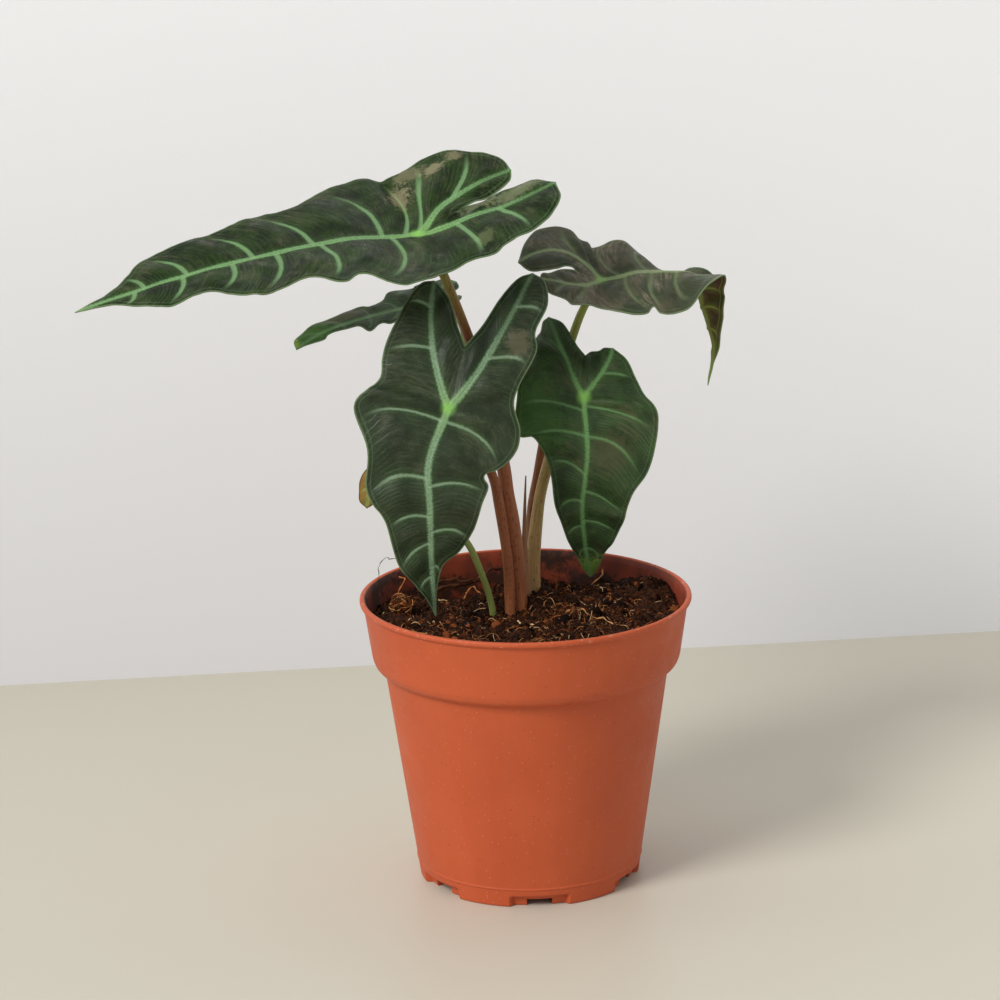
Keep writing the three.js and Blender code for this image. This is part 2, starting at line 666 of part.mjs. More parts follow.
// The blade's middle surface: points by their flat place, and triangles that face up.
class BladeSheet {
  constructor() {
    this.spots = [];
    this.byPlace = new Map();
    this.faces = [];
  }

  index(spot) {
    const key = `${spot.x.toFixed(3)},${spot.y.toFixed(3)}`;
    if (!this.byPlace.has(key)) {
      this.byPlace.set(key, this.spots.length);
      this.spots.push(spot);
    }
    return this.byPlace.get(key);
  }

  face(a, b, c, flip) {
    if (a === b || b === c || c === a) return;
    if (flip) this.faces.push([a, c, b]);
    else this.faces.push([a, b, c]);
  }

  grid(columns, firstRow, flip) {
    for (let i = 0; i + 1 < columns.length; i += 1) {
      for (let j = firstRow; j + 1 < columns[i].length; j += 1) {
        const a = this.index(columns[i][j]);
        const b = this.index(columns[i + 1][j]);
        const c = this.index(columns[i + 1][j + 1]);
        const d = this.index(columns[i][j + 1]);
        this.face(a, b, c, flip);
        this.face(a, c, d, flip);
      }
    }
  }

  // Fills the strip between the midrib's points and a half's first row beside it, which
  // have different steps.
  zip(midrib, beside, flip) {
    let i = 0;
    let j = 0;
    while (i + 1 < midrib.length || j + 1 < beside.length) {
      const moveRib = j + 1 === beside.length
        || (i + 1 < midrib.length && midrib[i + 1].y >= beside[j + 1].y);
      const a = this.index(midrib[i]);
      const d = this.index(beside[j]);
      if (moveRib) {
        this.face(a, this.index(midrib[i + 1]), d, flip);
        i += 1;
      } else {
        this.face(a, this.index(beside[j + 1]), d, flip);
        j += 1;
      }
    }
  }
}

function bladeSheet(leaf, length) {
  const sheet = new BladeSheet();
  const halves = [
    { grids: halfBlade(leaf.right, length, leaf.notch), flip: false },
    { grids: halfBlade(leaf.left, length, leaf.notch), flip: true },
  ];
  const midrib = new Map();
  halves.forEach(({ grids }) => {
    grids.outer.slice(0, grids.midribColumns).forEach((column) => {
      midrib.set(column[0].y.toFixed(3), column[0]);
    });
  });
  const line = [...midrib.values()].sort((a, b) => b.y - a.y);
  halves.forEach(({ grids, flip }) => {
    const onMidrib = grids.outer.slice(0, grids.midribColumns);
    sheet.zip(line, onMidrib.map((column) => column[1]), flip);
    sheet.grid(onMidrib, 1, flip);
    sheet.grid(grids.outer.slice(grids.midribColumns - 1), 0, flip);
    sheet.grid(grids.inner, 0, !flip);
  });
  return sheet;
}

// Thickens the bent sheet; `extra` makes it thicker all over, to cut clearances with.
function bladeGeometry(leaf, midrib, extra = 0) {
  const sheet = bladeSheet(leaf, midrib.length);
  const places = sheet.spots.map((spot) => midrib.place(spot.x, spot.y, spot.rise));
  const normals = places.map(() => new THREE.Vector3());
  sheet.faces.forEach((face) => {
    const [a, b, c] = face.map((k) => places[k]);
    const normal = b.clone().sub(a).cross(c.clone().sub(a));
    face.forEach((k) => normals[k].add(normal));
  });
  const skin = new Skin();
  const half = BLADE_THICKNESS / 2 + extra;
  const upper = [];
  const lower = [];
  places.forEach((place, k) => {
    const normal = normals[k].normalize();
    const top = place.clone().addScaledVector(normal, half + sheet.spots[k].over);
    const bottom = place.clone().addScaledVector(normal, -half - sheet.spots[k].under);
    upper.push(skin.point(top.x, top.y, top.z));
    lower.push(skin.point(bottom.x, bottom.y, bottom.z));
  });
  const edgesOf = ([a, b, c]) => [`${a},${b}`, `${b},${c}`, `${c},${a}`];
  const edges = new Set(sheet.faces.flatMap(edgesOf));
  sheet.faces.forEach(([a, b, c]) => {
    skin.face(upper[a], upper[b], upper[c]);
    skin.face(lower[a], lower[c], lower[b]);
    [[a, b], [b, c], [c, a]].forEach(([from, to]) => {
      if (edges.has(`${to},${from}`)) return;
      skin.quad(upper[to], upper[from], lower[from], lower[to]);
    });
  });
  return skin.geometry();
}

// A petiole runs on past the blade, and is then cut off just under it and just over the corm.
function petioleSolid(leaf, midrib, extra = 0) {
  const path = [...leaf.petiole];
  const end = vector(path[path.length - 1]);
  const before = vector(path[path.length - 2]);
  const past = end.clone().sub(before).setLength(PETIOLE_OVERRUN).add(end);
  path.push(past.toArray());
  const radii = leaf.petioleRadii.map((radius) => radius + extra);
  const stem = solidOf(stemGeometry(path, radii, 8, 13));
  if (extra > 0) return stem;
  const trimmed = stem.subtract(solidOf(bladeGeometry(leaf, midrib, CLEARANCE)));
  return largestPiece(largestPiece(trimmed).subtract(cormSolid(CLEARANCE)));
}

// ---------------------------------------------------------------- corm and bud sheath

function cormSolid(extra = 0) {
  const corm = new THREE.SphereGeometry(1, 16, 10);
  corm.rotateX(Math.PI / 2);
  corm.scale(CORM_RADII[0] + extra, CORM_RADII[1] + extra, CORM_RADII[2] + extra);
  corm.translate(...CORM_CENTRE);
  return solidOf(corm);
}

const SHEATH_PATH = [
  [0.6, 13, 86], [0.4, 13, 101], [0, 13, 114], [0, 13, 124], [0.3, 13, 135], [0.8, 13, 146],
];
const SHEATH_RADII = [2.2, 2, 1.5, 1, 0.6, 0.35];

function sheathSolid(extra = 0) {
  const radii = SHEATH_RADII.map((radius) => radius + extra);
  const sheath = solidOf(stemGeometry(SHEATH_PATH, radii, 8, 10));
  if (extra > 0) return sheath;
  return largestPiece(sheath.subtract(cormSolid(CLEARANCE)));
}

// ---------------------------------------------------------------- the soil

// Broad mounds and hollows of the soil: [x, y, reach, height].
const MOUNDS = [
  [10, 12, 17, 4.5], [46, 24, 15, 5.5], [-44, -14, 9, 3], [30, -30, 16, 1.5],
  [-22, 44, 15, -12], [14, 48, 14, -5], [-30, -34, 14, 1.5], [52, -12, 8, 2],
];
const LUMP_COUNT = 150;
const CRUMB_COUNT = 14;
const FIBRE_COUNT = 6;
const LUMPY_RADIUS = 54;
const SOIL_TURNS = 60;
const SOIL_RINGS = 10;
const SOIL_MOST_AT_WALL = 102;
const SOIL_MOST = 104;

function soilLumps() {
  const random = seededRandom(7);
  const lumps = [];
  for (let k = 0; k < LUMP_COUNT; k += 1) {
    const turn = random() * 2 * Math.PI;
    const run = Math.sqrt(random()) * LUMPY_RADIUS;
    const reach = mix(2.4, 4.6, random());
    lumps.push([run * Math.cos(turn), run * Math.sin(turn), reach, mix(-1.2, 2.6, random())]);
  }
  return lumps;
}

const LUMPS = soilLumps();

function soilHeight(x, y) {
  return [...MOUNDS, ...LUMPS].reduce((height, [cx, cy, reach, rise]) => {
    const far = ((x - cx) ** 2 + (y - cy) ** 2) / reach ** 2;
    return height + rise * Math.exp(-far);
  }, SOIL_LEVEL);
}

// One ring of the soil; `spotAt` gives the radius and height at a turn round the pot.
function soilRing(skin, spotAt) {
  const loop = [];
  for (let k = 0; k < SOIL_TURNS; k += 1) {
    const turn = (2 * Math.PI * k) / SOIL_TURNS;
    const [radius, z] = spotAt(turn);
    loop.push(skin.point(radius * Math.cos(turn), radius * Math.sin(turn), z));
  }
  return loop;
}

// Where the soil's surface meets the wall, at a turn round the pot.
function soilBrim(turn) {
  const wall = insideRadius(SOIL_LEVEL) - CLEARANCE;
  const height = soilHeight(wall * Math.cos(turn), wall * Math.sin(turn));
  const brim = Math.min(height, SOIL_MOST_AT_WALL);
  return [insideRadius(brim) - CLEARANCE, brim];
}

function soilTopSpot(turn, share) {
  const [radius, brim] = soilBrim(turn);
  if (share === 1) return [radius, brim];
  const reach = radius * share;
  const height = soilHeight(reach * Math.cos(turn), reach * Math.sin(turn));
  return [reach, Math.min(height, SOIL_MOST)];
}

function soilBody() {
  const skin = new Skin();
  const bottom = FLOOR_TOP + CLEARANCE;
  const walls = INSIDE.slice(0, -1).map(([radius, z]) => [radius - CLEARANCE, Math.max(z, bottom)]);
  const loops = walls.map((spot) => soilRing(skin, () => spot));
  for (let k = SOIL_RINGS; k >= 1; k -= 1) {
    loops.push(soilRing(skin, (turn) => soilTopSpot(turn, k / SOIL_RINGS)));
  }
  for (let k = 0; k + 1 < loops.length; k += 1) skin.band(loops[k], loops[k + 1]);
  skin.capBelow(loops[0], new THREE.Vector3(0, 0, bottom));
  skin.capAbove(loops[loops.length - 1], new THREE.Vector3(0, 0, soilHeight(0, 0)));
  return solidOf(skin.geometry());
}

// Loose crumbs of peat, half sunk in the surface.
function soilCrumbs() {
  const random = seededRandom(21);
  const crumbs = [];
  for (let k = 0; k < CRUMB_COUNT; k += 1) {
    const crumb = new THREE.IcosahedronGeometry(1, 0);
    const size = mix(1.4, 3, random());
    crumb.scale(size, size * mix(0.6, 1, random()), size * mix(0.5, 0.8, random()));
    crumb.rotateZ(random() * Math.PI);
    const turn = random() * 2 * Math.PI;
    const run = mix(18, 50, Math.sqrt(random()));
    const x = run * Math.cos(turn);
    const y = run * Math.sin(turn);
    crumb.translate(x, y, soilHeight(x, y) + CLEARANCE);
    crumbs.push(solidOf(crumb));
  }
  return crumbs;
}

// Curled coir fibres, both ends sunk in the surface.
function soilFibres() {
  const random = seededRandom(5);
  const fibres = [];
  for (let k = 0; k < FIBRE_COUNT; k += 1) {
    const turn = random() * 2 * Math.PI;
    const run = mix(20, 44, random());
    const heading = random() * 2 * Math.PI;
    const length = mix(7, 12, random());
    const path = [];
    for (let step = 0; step <= 4; step += 1) {
      const u = step / 4;
      const bend = heading + 0.9 * (u - 0.5);
      const x = run * Math.cos(turn) + (u - 0.5) * length * Math.cos(bend);
      const y = run * Math.sin(turn) + (u - 0.5) * length * Math.sin(bend);
      path.push([x, y, soilHeight(x, y) - 1.2 + 3 * Math.sin(Math.PI * u)]);
    }
    fibres.push(solidOf(stemGeometry(path, [0.5, 0.5], 4, 5)));
  }
  return fibres;
}

function soilSolid(holes) {
  const raised = [...soilCrumbs(), ...soilFibres()];
  const rough = raised.reduce((soil, lump) => soil.add(lump), soilBody());
  return largestPiece(holes.reduce((soil, hole) => soil.subtract(hole), rough));
}

// ---------------------------------------------------------------- the whole plant

const FINISHES = {
  pot: { color: 0xb5502f, roughness: 0.55 },
  soil: { color: 0x3a281d, roughness: 0.95 },
  blade: { color: 0x1f3d26, roughness: 0.42 },
  old_blade: { color: 0x6b5a1c, roughness: 0.6 },
  red_petiole: { color: 0x7d4a38, roughness: 0.5 },
  tan_petiole: { color: 0x9a8a55, roughness: 0.5 },
  green_petiole: { color: 0x8fae58, roughness: 0.45 },
  sheath: { color: 0x9b7a5a, roughness: 0.7 },
  corm: { color: 0x5d4a36, roughness: 0.85 },
};

const PETIOLE_FINISH = {
  leaf_1: 'red_petiole',
  leaf_2: 'red_petiole',
  leaf_3: 'tan_petiole',
  leaf_4: 'red_petiole',
  leaf_5: 'green_petiole',
  leaf_6: 'green_petiole',
};

function piece(name, geometry, finish) {
  const { color, roughness } = FINISHES[finish];
  const material = new THREE.MeshStandardMaterial({ color, roughness, metalness: 0 });
  const mesh = new THREE.Mesh(geometry, material);
  mesh.name = name;
  return mesh;
}

const group = new THREE.Group();
const holes = [cormSolid(CLEARANCE), sheathSolid(CLEARANCE)];

group.add(piece('pot', potGeometry(), 'pot'));
LEAVES.forEach((leaf) => {
  const midrib = new Midrib(leaf.midrib, leaf.petioleKnot);
  const bladeFinish = leaf.name === 'leaf_6' ? 'old_blade' : 'blade';
  group.add(piece(`${leaf.name}_blade`, bladeGeometry(leaf, midrib), bladeFinish));
  const petiole = geometryOf(petioleSolid(leaf, midrib));
  group.add(piece(`${leaf.name}_petiole`, petiole, PETIOLE_FINISH[leaf.name]));
  holes.push(petioleSolid(leaf, midrib, CLEARANCE));
});
group.add(piece('bud_sheath', geometryOf(sheathSolid()), 'sheath'));
group.add(piece('corm', geometryOf(cormSolid()), 'corm'));
group.add(piece('soil', geometryOf(soilSolid(holes)), 'soil'));

export default group;
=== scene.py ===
# %% [markdown]
# # A young alocasia in a nursery pot
#
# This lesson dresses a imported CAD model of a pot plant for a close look. The CAD frame gives
# the places and the sizes. Each step below adds one real piece or one finish to it, in
# metres, and leaves the frame itself alone.

# %% Load the frame
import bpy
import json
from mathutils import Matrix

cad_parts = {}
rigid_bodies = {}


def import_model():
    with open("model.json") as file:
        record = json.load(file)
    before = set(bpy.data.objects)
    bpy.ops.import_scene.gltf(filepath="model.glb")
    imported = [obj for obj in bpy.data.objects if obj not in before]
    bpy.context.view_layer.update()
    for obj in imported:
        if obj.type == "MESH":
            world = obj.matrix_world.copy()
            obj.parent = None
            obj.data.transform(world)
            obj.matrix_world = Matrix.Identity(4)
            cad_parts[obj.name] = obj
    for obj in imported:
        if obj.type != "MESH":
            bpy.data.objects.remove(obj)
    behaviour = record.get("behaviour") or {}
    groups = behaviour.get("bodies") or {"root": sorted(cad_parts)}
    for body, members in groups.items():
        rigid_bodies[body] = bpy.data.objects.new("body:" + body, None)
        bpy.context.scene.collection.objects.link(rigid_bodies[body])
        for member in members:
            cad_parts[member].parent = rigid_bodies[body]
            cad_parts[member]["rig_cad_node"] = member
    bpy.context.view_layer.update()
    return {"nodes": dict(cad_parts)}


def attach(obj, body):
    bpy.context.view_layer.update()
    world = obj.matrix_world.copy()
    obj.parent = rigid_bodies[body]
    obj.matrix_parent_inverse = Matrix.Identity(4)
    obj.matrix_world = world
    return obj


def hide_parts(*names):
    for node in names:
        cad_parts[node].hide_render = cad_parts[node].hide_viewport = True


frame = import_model()
print("nodes in the frame:", len(frame["nodes"]))

# %% [markdown]
# ## Units and small helpers
#
# A plant is measured in millimetres and Blender works in metres, so every shape here is
# worked out in millimetres and scaled once, when its mesh is made. Numpy moves thousands of
# points at a time, which keeps the fine meshes quick to build.

# %% Helpers for numbers
import json
import math
from types import SimpleNamespace

import bmesh
import bpy
import numpy as np
from mathutils import Matrix, Vector, noise

MM = 0.001


def unit(rows):
    length = np.linalg.norm(rows, axis=-1, keepdims=True)
    return rows / np.maximum(length, 1e-12)


def soft_step(low, high, value):
    share = np.clip((value - low) / (high - low), 0, 1)
    return share * share * (3 - 2 * share)


def through(rows, t):
    """A smooth curve through rows of numbers; t runs from 0 to the last row's index."""
    rows = np.asarray(rows, float)
    t = np.clip(np.asarray(t, float), 0, len(rows) - 1)
    start = np.minimum(t.astype(int), len(rows) - 2)
    u = (t - start)[..., None]
    padded = np.vstack([2 * rows[0] - rows[1], rows, 2 * rows[-1] - rows[-2]])
    a, b, c, d = (padded[start + k] for k in range(4))
    return 0.5 * (2 * b + (c - a) * u + (2 * a - 5 * b + 4 * c - d) * u**2
                  + (3 * b - a - 3 * c + d) * u**3)


def rough_field(points, size, seed, octaves):
    """Fractal noise at points in millimetres, about -1 to 1; size is its largest grain."""
    shift = Vector((seed * 17.3, seed * 5.1, seed * 9.7))
    return np.array([noise.fractal(Vector(p) / size + shift, 1.0, 2.0, octaves) for p in points])


def runs_along(line):
    """How far along a line each of its points lies."""
    return np.concatenate([[0], np.cumsum(np.linalg.norm(np.diff(line, axis=0), axis=1))])


def read_off(rows, runs, at):
    """Rows of numbers that go with runs along a line, read off at other runs."""
    return np.stack([np.interp(at, runs, column) for column in rows.T], -1)


# %% Helpers for meshes
def make_piece(name, points, faces, smooth_angle=180.0):
    """A mesh object from points in millimetres; edges sharper than the angle stay sharp."""
    mesh = bpy.data.meshes.new(name)
    mesh.from_pydata((np.asarray(points) * MM).tolist(), [], faces)
    mesh.validate()
    mesh.polygons.foreach_set("use_smooth", [True] * len(mesh.polygons))
    if smooth_angle < 180:
        mesh.set_sharp_from_angle(angle=math.radians(smooth_angle))
    piece = bpy.data.objects.new(name, mesh)
    bpy.context.scene.collection.objects.link(piece)
    print(f"{name}: {len(mesh.vertices)} points, {len(mesh.polygons)} faces")
    return piece


def grid_faces(rows, columns, wrap=False, first=0):
    """Quads over a grid of points that is stored row by row."""
    faces = []
    for row in range(rows - 1):
        for column in range(columns if wrap else columns - 1):
            beside = (column + 1) % columns
            low, high = first + row * columns, first + (row + 1) * columns
            faces.append((low + column, low + beside, high + beside, high + column))
    return faces


def store(piece, name, values, kind="FLOAT_VECTOR", domain="POINT"):
    """Keeps values on the mesh for its material to read."""
    layer = piece.data.attributes.new(name, kind, domain)
    key = "value" if kind == "FLOAT" else "vector"
    layer.data.foreach_set(key, np.asarray(values, np.float32).ravel())


def belongs(piece, slot, *nodes):
    """Ties a piece to the frame's root body and hides the CAD nodes it stands for; the slot is not used."""
    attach(piece, "root")
    if nodes:
        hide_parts(*nodes)
    return piece


# %% [markdown]
# ## The camera
#
# The picture was taken from the front, a little above the leaves, with a long lens that
# hardly bends the pot's straight sides. The camera's pitch, turn and roll were fitted to the
# pot's outline, so the render can be laid over the photograph.

# %% Camera
CAMERA_PLACE_MM = (0.0, -1231.519, 476.367)
CAMERA_PITCH_DEG = 15.25
CAMERA_YAW_DEG = -0.40
CAMERA_ROLL_DEG = -1.02
FOCAL_PX = 3557.0
PICTURE_PX = 1000.0
SENSOR_MM = 36.0


def camera_axes():
    pitch, yaw, roll = (math.radians(a) for a in (CAMERA_PITCH_DEG, CAMERA_YAW_DEG, CAMERA_ROLL_DEG))
    ahead = Vector((math.sin(yaw) * math.cos(pitch), math.cos(yaw) * math.cos(pitch), -math.sin(pitch)))
    level = Vector((math.cos(yaw), -math.sin(yaw), 0))
    upright = level.cross(ahead)
    right = math.cos(roll) * level + math.sin(roll) * upright
    up = -math.sin(roll) * level + math.cos(roll) * upright
    return right, up, ahead


right, up, ahead = camera_axes()
lens = bpy.data.cameras.new("photo_camera")
lens.sensor_width = SENSOR_MM
lens.lens = SENSOR_MM * FOCAL_PX / PICTURE_PX
camera = bpy.data.objects.new("photo_camera", lens)
turned = Matrix((right, up, -ahead)).transposed().to_4x4()
camera.matrix_world = Matrix.Translation(Vector(CAMERA_PLACE_MM) * MM) @ turned
bpy.context.scene.collection.objects.link(camera)
bpy.context.scene.camera = camera
print("lens in millimetres:", round(lens.lens, 1))

# %% [markdown]
# ## Node helpers
#
# A procedural material is a small program of nodes. A wire stands for a node's output, and
# sums and products of wires add the nodes that work them out. So a finish reads from top to
# bottom like a recipe: a base colour, then tints that are laid over it one by one.

# %% Helpers for nodes
class Wire:
    """A node's output. Arithmetic with wires adds Math nodes."""

    def __init__(self, socket):
        self.socket = socket
        self.tree = socket.id_data

    def __add__(self, other):
        return maths("ADD", self, other)

    def __sub__(self, other):
        return maths("SUBTRACT", self, other)

    def __rsub__(self, other):
        return maths("SUBTRACT", other, self)

    def __mul__(self, other):
        return maths("MULTIPLY", self, other)

    def __truediv__(self, other):
        return maths("DIVIDE", self, other)

    def __abs__(self):
        return maths("ABSOLUTE", self)


def feed(socket, value):
    """Joins a wire to a node's input, or gives the input a plain value."""
    if isinstance(value, Wire):
        value.tree.links.new(value.socket, socket)
    else:
        socket.default_value = value


def add_node(tree, kind, inputs=None, **settings):
    made = tree.nodes.new(kind)
    for name, value in settings.items():
        setattr(made, name, value)
    for key, value in (inputs or {}).items():
        feed(made.inputs[key], value)
    return made


def maths(operation, *values):
    tree = next(value.tree for value in values if isinstance(value, Wire))
    made = add_node(tree, "ShaderNodeMath", dict(enumerate(values)), operation=operation)
    return Wire(made.outputs[0])


def vector_maths(operation, vector, other=(0, 0, 0)):
    inputs = {0: vector, 1: other}
    made = add_node(vector.tree, "ShaderNodeVectorMath", inputs, operation=operation)
    return Wire(made.outputs["Value" if operation == "LENGTH" else "Vector"])


def remap(value, low, high, to_low=0.0, to_high=1.0, kind="SMOOTHSTEP"):
    inputs = dict(enumerate((value, low, high, to_low, to_high)))
    return Wire(add_node(value.tree, "ShaderNodeMapRange", inputs, interpolation_type=kind).outputs[0])


def cloud(place, scale, detail=3.0, roughness=0.55):
    inputs = {"Vector": place, "Scale": scale, "Detail": detail, "Roughness": roughness}
    return Wire(add_node(place.tree, "ShaderNodeTexNoise", inputs).outputs["Fac"])


def split(vector):
    return [Wire(output) for output in add_node(vector.tree, "ShaderNodeSeparateXYZ", {0: vector}).outputs]


def rgb(red, green, blue):
    """A colour as seen on a screen, 0 to 255, in Blender's linear light."""
    def linear(value):
        share = value / 255
        return share / 12.92 if share <= 0.04045 else ((share + 0.055) / 1.055) ** 2.4
    return (linear(red), linear(green), linear(blue), 1.0)


def blend(share, first, second):
    """From the first colour to the second; each is a wire, or red, green and blue to 255."""
    first, second = (tone if isinstance(tone, Wire) else rgb(*tone) for tone in (first, second))
    inputs = {0: share, 6: first, 7: second}
    return Wire(add_node(share.tree, "ShaderNodeMix", inputs, data_type="RGBA").outputs[2])


class Finish:
    """A material with one Principled shader, and the colour that is built up for it."""

    def __init__(self, name, **sockets):
        self.material = bpy.data.materials.new(name)
        self.material.use_nodes = True
        self.tree = self.material.node_tree
        self.inputs = self.tree.nodes["Principled BSDF"].inputs
        for key, value in sockets.items():
            self.inputs[key.replace("_", " ")].default_value = value

    def place(self):
        """Where the shaded point is, in metres."""
        return Wire(add_node(self.tree, "ShaderNodeNewGeometry").outputs["Position"])

    def stored(self, name, output="Vector"):
        """What was stored on the mesh under a name."""
        return Wire(add_node(self.tree, "ShaderNodeAttribute", attribute_name=name).outputs[output])

    def base(self, share, first, second):
        self.colour = blend(share, first, second)

    def ramp(self, value, stops):
        """A base colour in several stops, each a place from 0 to 1 and a tone."""
        made = add_node(self.tree, "ShaderNodeValToRGB", {"Fac": value})
        marks = made.color_ramp.elements
        for mark, (place, tone) in zip(marks, (stops[0], stops[-1])):
            mark.position, mark.color = place, rgb(*tone)
        for place, tone in stops[1:-1]:
            marks.new(place).color = rgb(*tone)
        self.colour = Wire(made.outputs["Color"])

    def tint(self, mask, tone, strength=1):
        """Lays a tone over the colour where the mask is 1."""
        self.colour = blend(mask if strength == 1 else mask * strength, self.colour, tone)

    def rough(self, *values):
        """Takes the roughness from a wire and its limits, as remap does."""
        feed(self.inputs["Roughness"], remap(*values))

    def bump(self, height, strength, distance_mm):
        inputs = {"Strength": strength, "Distance": distance_mm * MM, "Height": height}
        feed(self.inputs["Normal"], Wire(add_node(self.tree, "ShaderNodeBump", inputs).outputs[0]))

    def done(self):
        feed(self.inputs["Base Color"], self.colour)
        return self.material


# %% [markdown]
# ## Effects that several finishes share
#
# Veins, seams and margins are all thin lines at a known distance from something. Specks are
# small dots spread over a surface. Mottling is a soft change of tone. Each is built once as a
# node group with named inputs, and every material that needs it gives it its own values.

# %% Shared shader groups
def shader_group(name, inputs, build):
    """A node group with one mask, as a function of its inputs; an input with no value is a vector."""
    group = bpy.data.node_groups.new(name, "ShaderNodeTree")
    for label, value in inputs.items():
        kind = "NodeSocketVector" if value is None else "NodeSocketFloat"
        socket = group.interface.new_socket(label, in_out="INPUT", socket_type=kind)
        if value is not None:
            socket.default_value = value
    group.interface.new_socket("Mask", in_out="OUTPUT", socket_type="NodeSocketFloat")
    start = group.nodes.new("NodeGroupInput").outputs
    end = group.nodes.new("NodeGroupOutput").inputs
    feed(end["Mask"], build(*(Wire(start[label]) for label in inputs)))

    def use(first, *others):
        values = dict(zip(inputs, (first, *others)))
        return Wire(add_node(first.tree, "ShaderNodeGroup", node_tree=group, inputs=values).outputs["Mask"])
    return use


def build_line(distance, half_width, softness):
    return remap(distance, half_width, half_width + softness, 1.0, 0.0)


def build_specks(vector, scale, share, size):
    inputs = {"Vector": vector, "Scale": scale, "Randomness": 1.0}
    dots = add_node(vector.tree, "ShaderNodeTexVoronoi", inputs).outputs
    chosen = maths("LESS_THAN", split(Wire(dots["Color"]))[0], share)
    return chosen * remap(Wire(dots["Distance"]), 0.08, size, 1.0, 0.0)


def build_mottle(vector, scale, width):
    return remap(cloud(vector, scale, 4.0, 0.6), 0.5 - width, width + 0.5)


thin_line = shader_group("thin_line", {"Distance": 0.0, "Half width": 0.5, "Softness": 0.5}, build_line)
specks = shader_group("specks", {"Vector": None, "Scale": 1000.0, "Share": 0.2, "Size": 0.3}, build_specks)
mottle = shader_group("mottle", {"Vector": None, "Scale": 100.0, "Width": 0.15}, build_mottle)
print("shared groups:", len(bpy.data.node_groups))

# %% [markdown]
# ## Floor, wall and light
#
# The plant stands on a pale putty-coloured board in front of a light grey wall. One large
# soft light stands to the left, so the pot is brighter on its left and its shadow fades out
# to the right. The floor and the wall also have painted light: their tone gets lighter to the
# right and, on the wall, towards the top. The wall is clear from behind, so that the plant can
# be seen from there too.

# %% Floor and wall
WALL_NEAR_MM = 254.0
WALL_TURN_DEG = 7.3
STAGE_SIZE_MM = 5000.0


def stage_plane(name, corners, low_tone, high_tone, roughness):
    """A plane with painted light: its tone gets softly lighter with height and to the right."""
    piece = make_piece(name, corners, [(0, 1, 2, 3)])
    paint = Finish(name, Roughness=roughness, Specular_IOR_Level=0.3)
    place = paint.place()
    x, _, z = split(place)
    # Painted light: the tone gets lighter with height and to the right, which evens out the key light's
    # falloff and brightens the wall's top.
    run = maths("MULTIPLY_ADD", x, 0.4, z) + mottle(place, 2.5, 0.3) * 0.02
    paint.base(remap(run, -0.25, 0.4), low_tone, high_tone)
    piece.data.materials.append(paint.done())
    return paint.tree


half = STAGE_SIZE_MM / 2
floor_corners = [(-half, -half, 0), (half, -half, 0), (half, half, 0), (-half, half, 0)]
stage_plane("floor", floor_corners, (194, 189, 173), (218, 212, 195), 0.42)

lean = half * math.tan(math.radians(WALL_TURN_DEG))
near_end, far_end = (-half, WALL_NEAR_MM - lean), (half, WALL_NEAR_MM + lean)
wall_corners = [(*near_end, -1), (*far_end, -1), (*far_end, half), (*near_end, half)]
wall = stage_plane("wall", wall_corners, (217, 217, 219), (251, 252, 254), 0.9)


def clear_from_behind(tree):
    behind = add_node(tree, "ShaderNodeNewGeometry").outputs["Backfacing"]
    seen = tree.nodes["Principled BSDF"].outputs[0]
    clear = add_node(tree, "ShaderNodeBsdfTransparent").outputs[0]
    inputs = {0: Wire(behind), 1: Wire(seen), 2: Wire(clear)}
    choose = add_node(tree, "ShaderNodeMixShader", inputs)
    feed(tree.nodes["Material Output"].inputs["Surface"], Wire(choose.outputs[0]))


clear_from_behind(wall)

# %% Lights
def soft_light(name, place_mm, aim_mm, size_mm, watts, colour):
    lamp = bpy.data.lights.new(name, "AREA")
    lamp.shape = "DISK"
    lamp.size = size_mm * MM
    lamp.energy = watts
    lamp.color = colour
    holder = bpy.data.objects.new(name, lamp)
    place = Vector(place_mm) * MM
    holder.location = place
    holder.rotation_euler = (Vector(aim_mm) * MM - place).to_track_quat("-Z", "Y").to_euler()
    bpy.context.scene.collection.objects.link(holder)


soft_light("key_light", (-2350, -2350, 2800), (0, 0, 100), 1600, 130, (1.0, 0.99, 0.98))

world = bpy.data.worlds.new("studio")
bpy.context.scene.world = world
world.use_nodes = True
sky = world.node_tree.nodes["Background"].inputs
sky["Color"].default_value = rgb(243, 244, 247)
sky["Strength"].default_value = 0.55
bpy.context.scene.view_settings.view_transform = "Standard"
print("lights:", len(bpy.data.lights))

# %% [markdown]
# ## The nursery pot
#
# The real pot is one thin shell of moulded polypropylene: a tapered body, a wider collar, a
# rolled lip, and a foot ring with six drain notches. A shell that is the same all round is
# a section spun about an axis. The section's corners are rounded first, because no moulded
# corner is sharp, and the notches are pressed in while it is spun. A boolean then cuts the
# small drain slots through the foot ring.

# %% Pot section
RIM_RADIUS = 60.0
POT_HEIGHT = 105.4
LIP_HEIGHT = 2.2
COLLAR_TOP_RADIUS = 58.7
COLLAR_FOOT_RADIUS = 55.8
COLLAR_FOOT_HEIGHT = 83.5
BODY_TOP_RADIUS = 51.5
BODY_TOP_HEIGHT = 79.2
BODY_FOOT_RADIUS = 40.4
WALL = 1.3
FLOOR_UNDERSIDE = 3.6
FLOOR_TOP = 4.9
PAD_RADIUS = 9.0


def body_radius(z):
    share = (z - 1.5) / (BODY_TOP_HEIGHT - 1.5)
    return BODY_FOOT_RADIUS + (BODY_TOP_RADIUS - BODY_FOOT_RADIUS) * share


COLLAR_TOP = POT_HEIGHT - LIP_HEIGHT

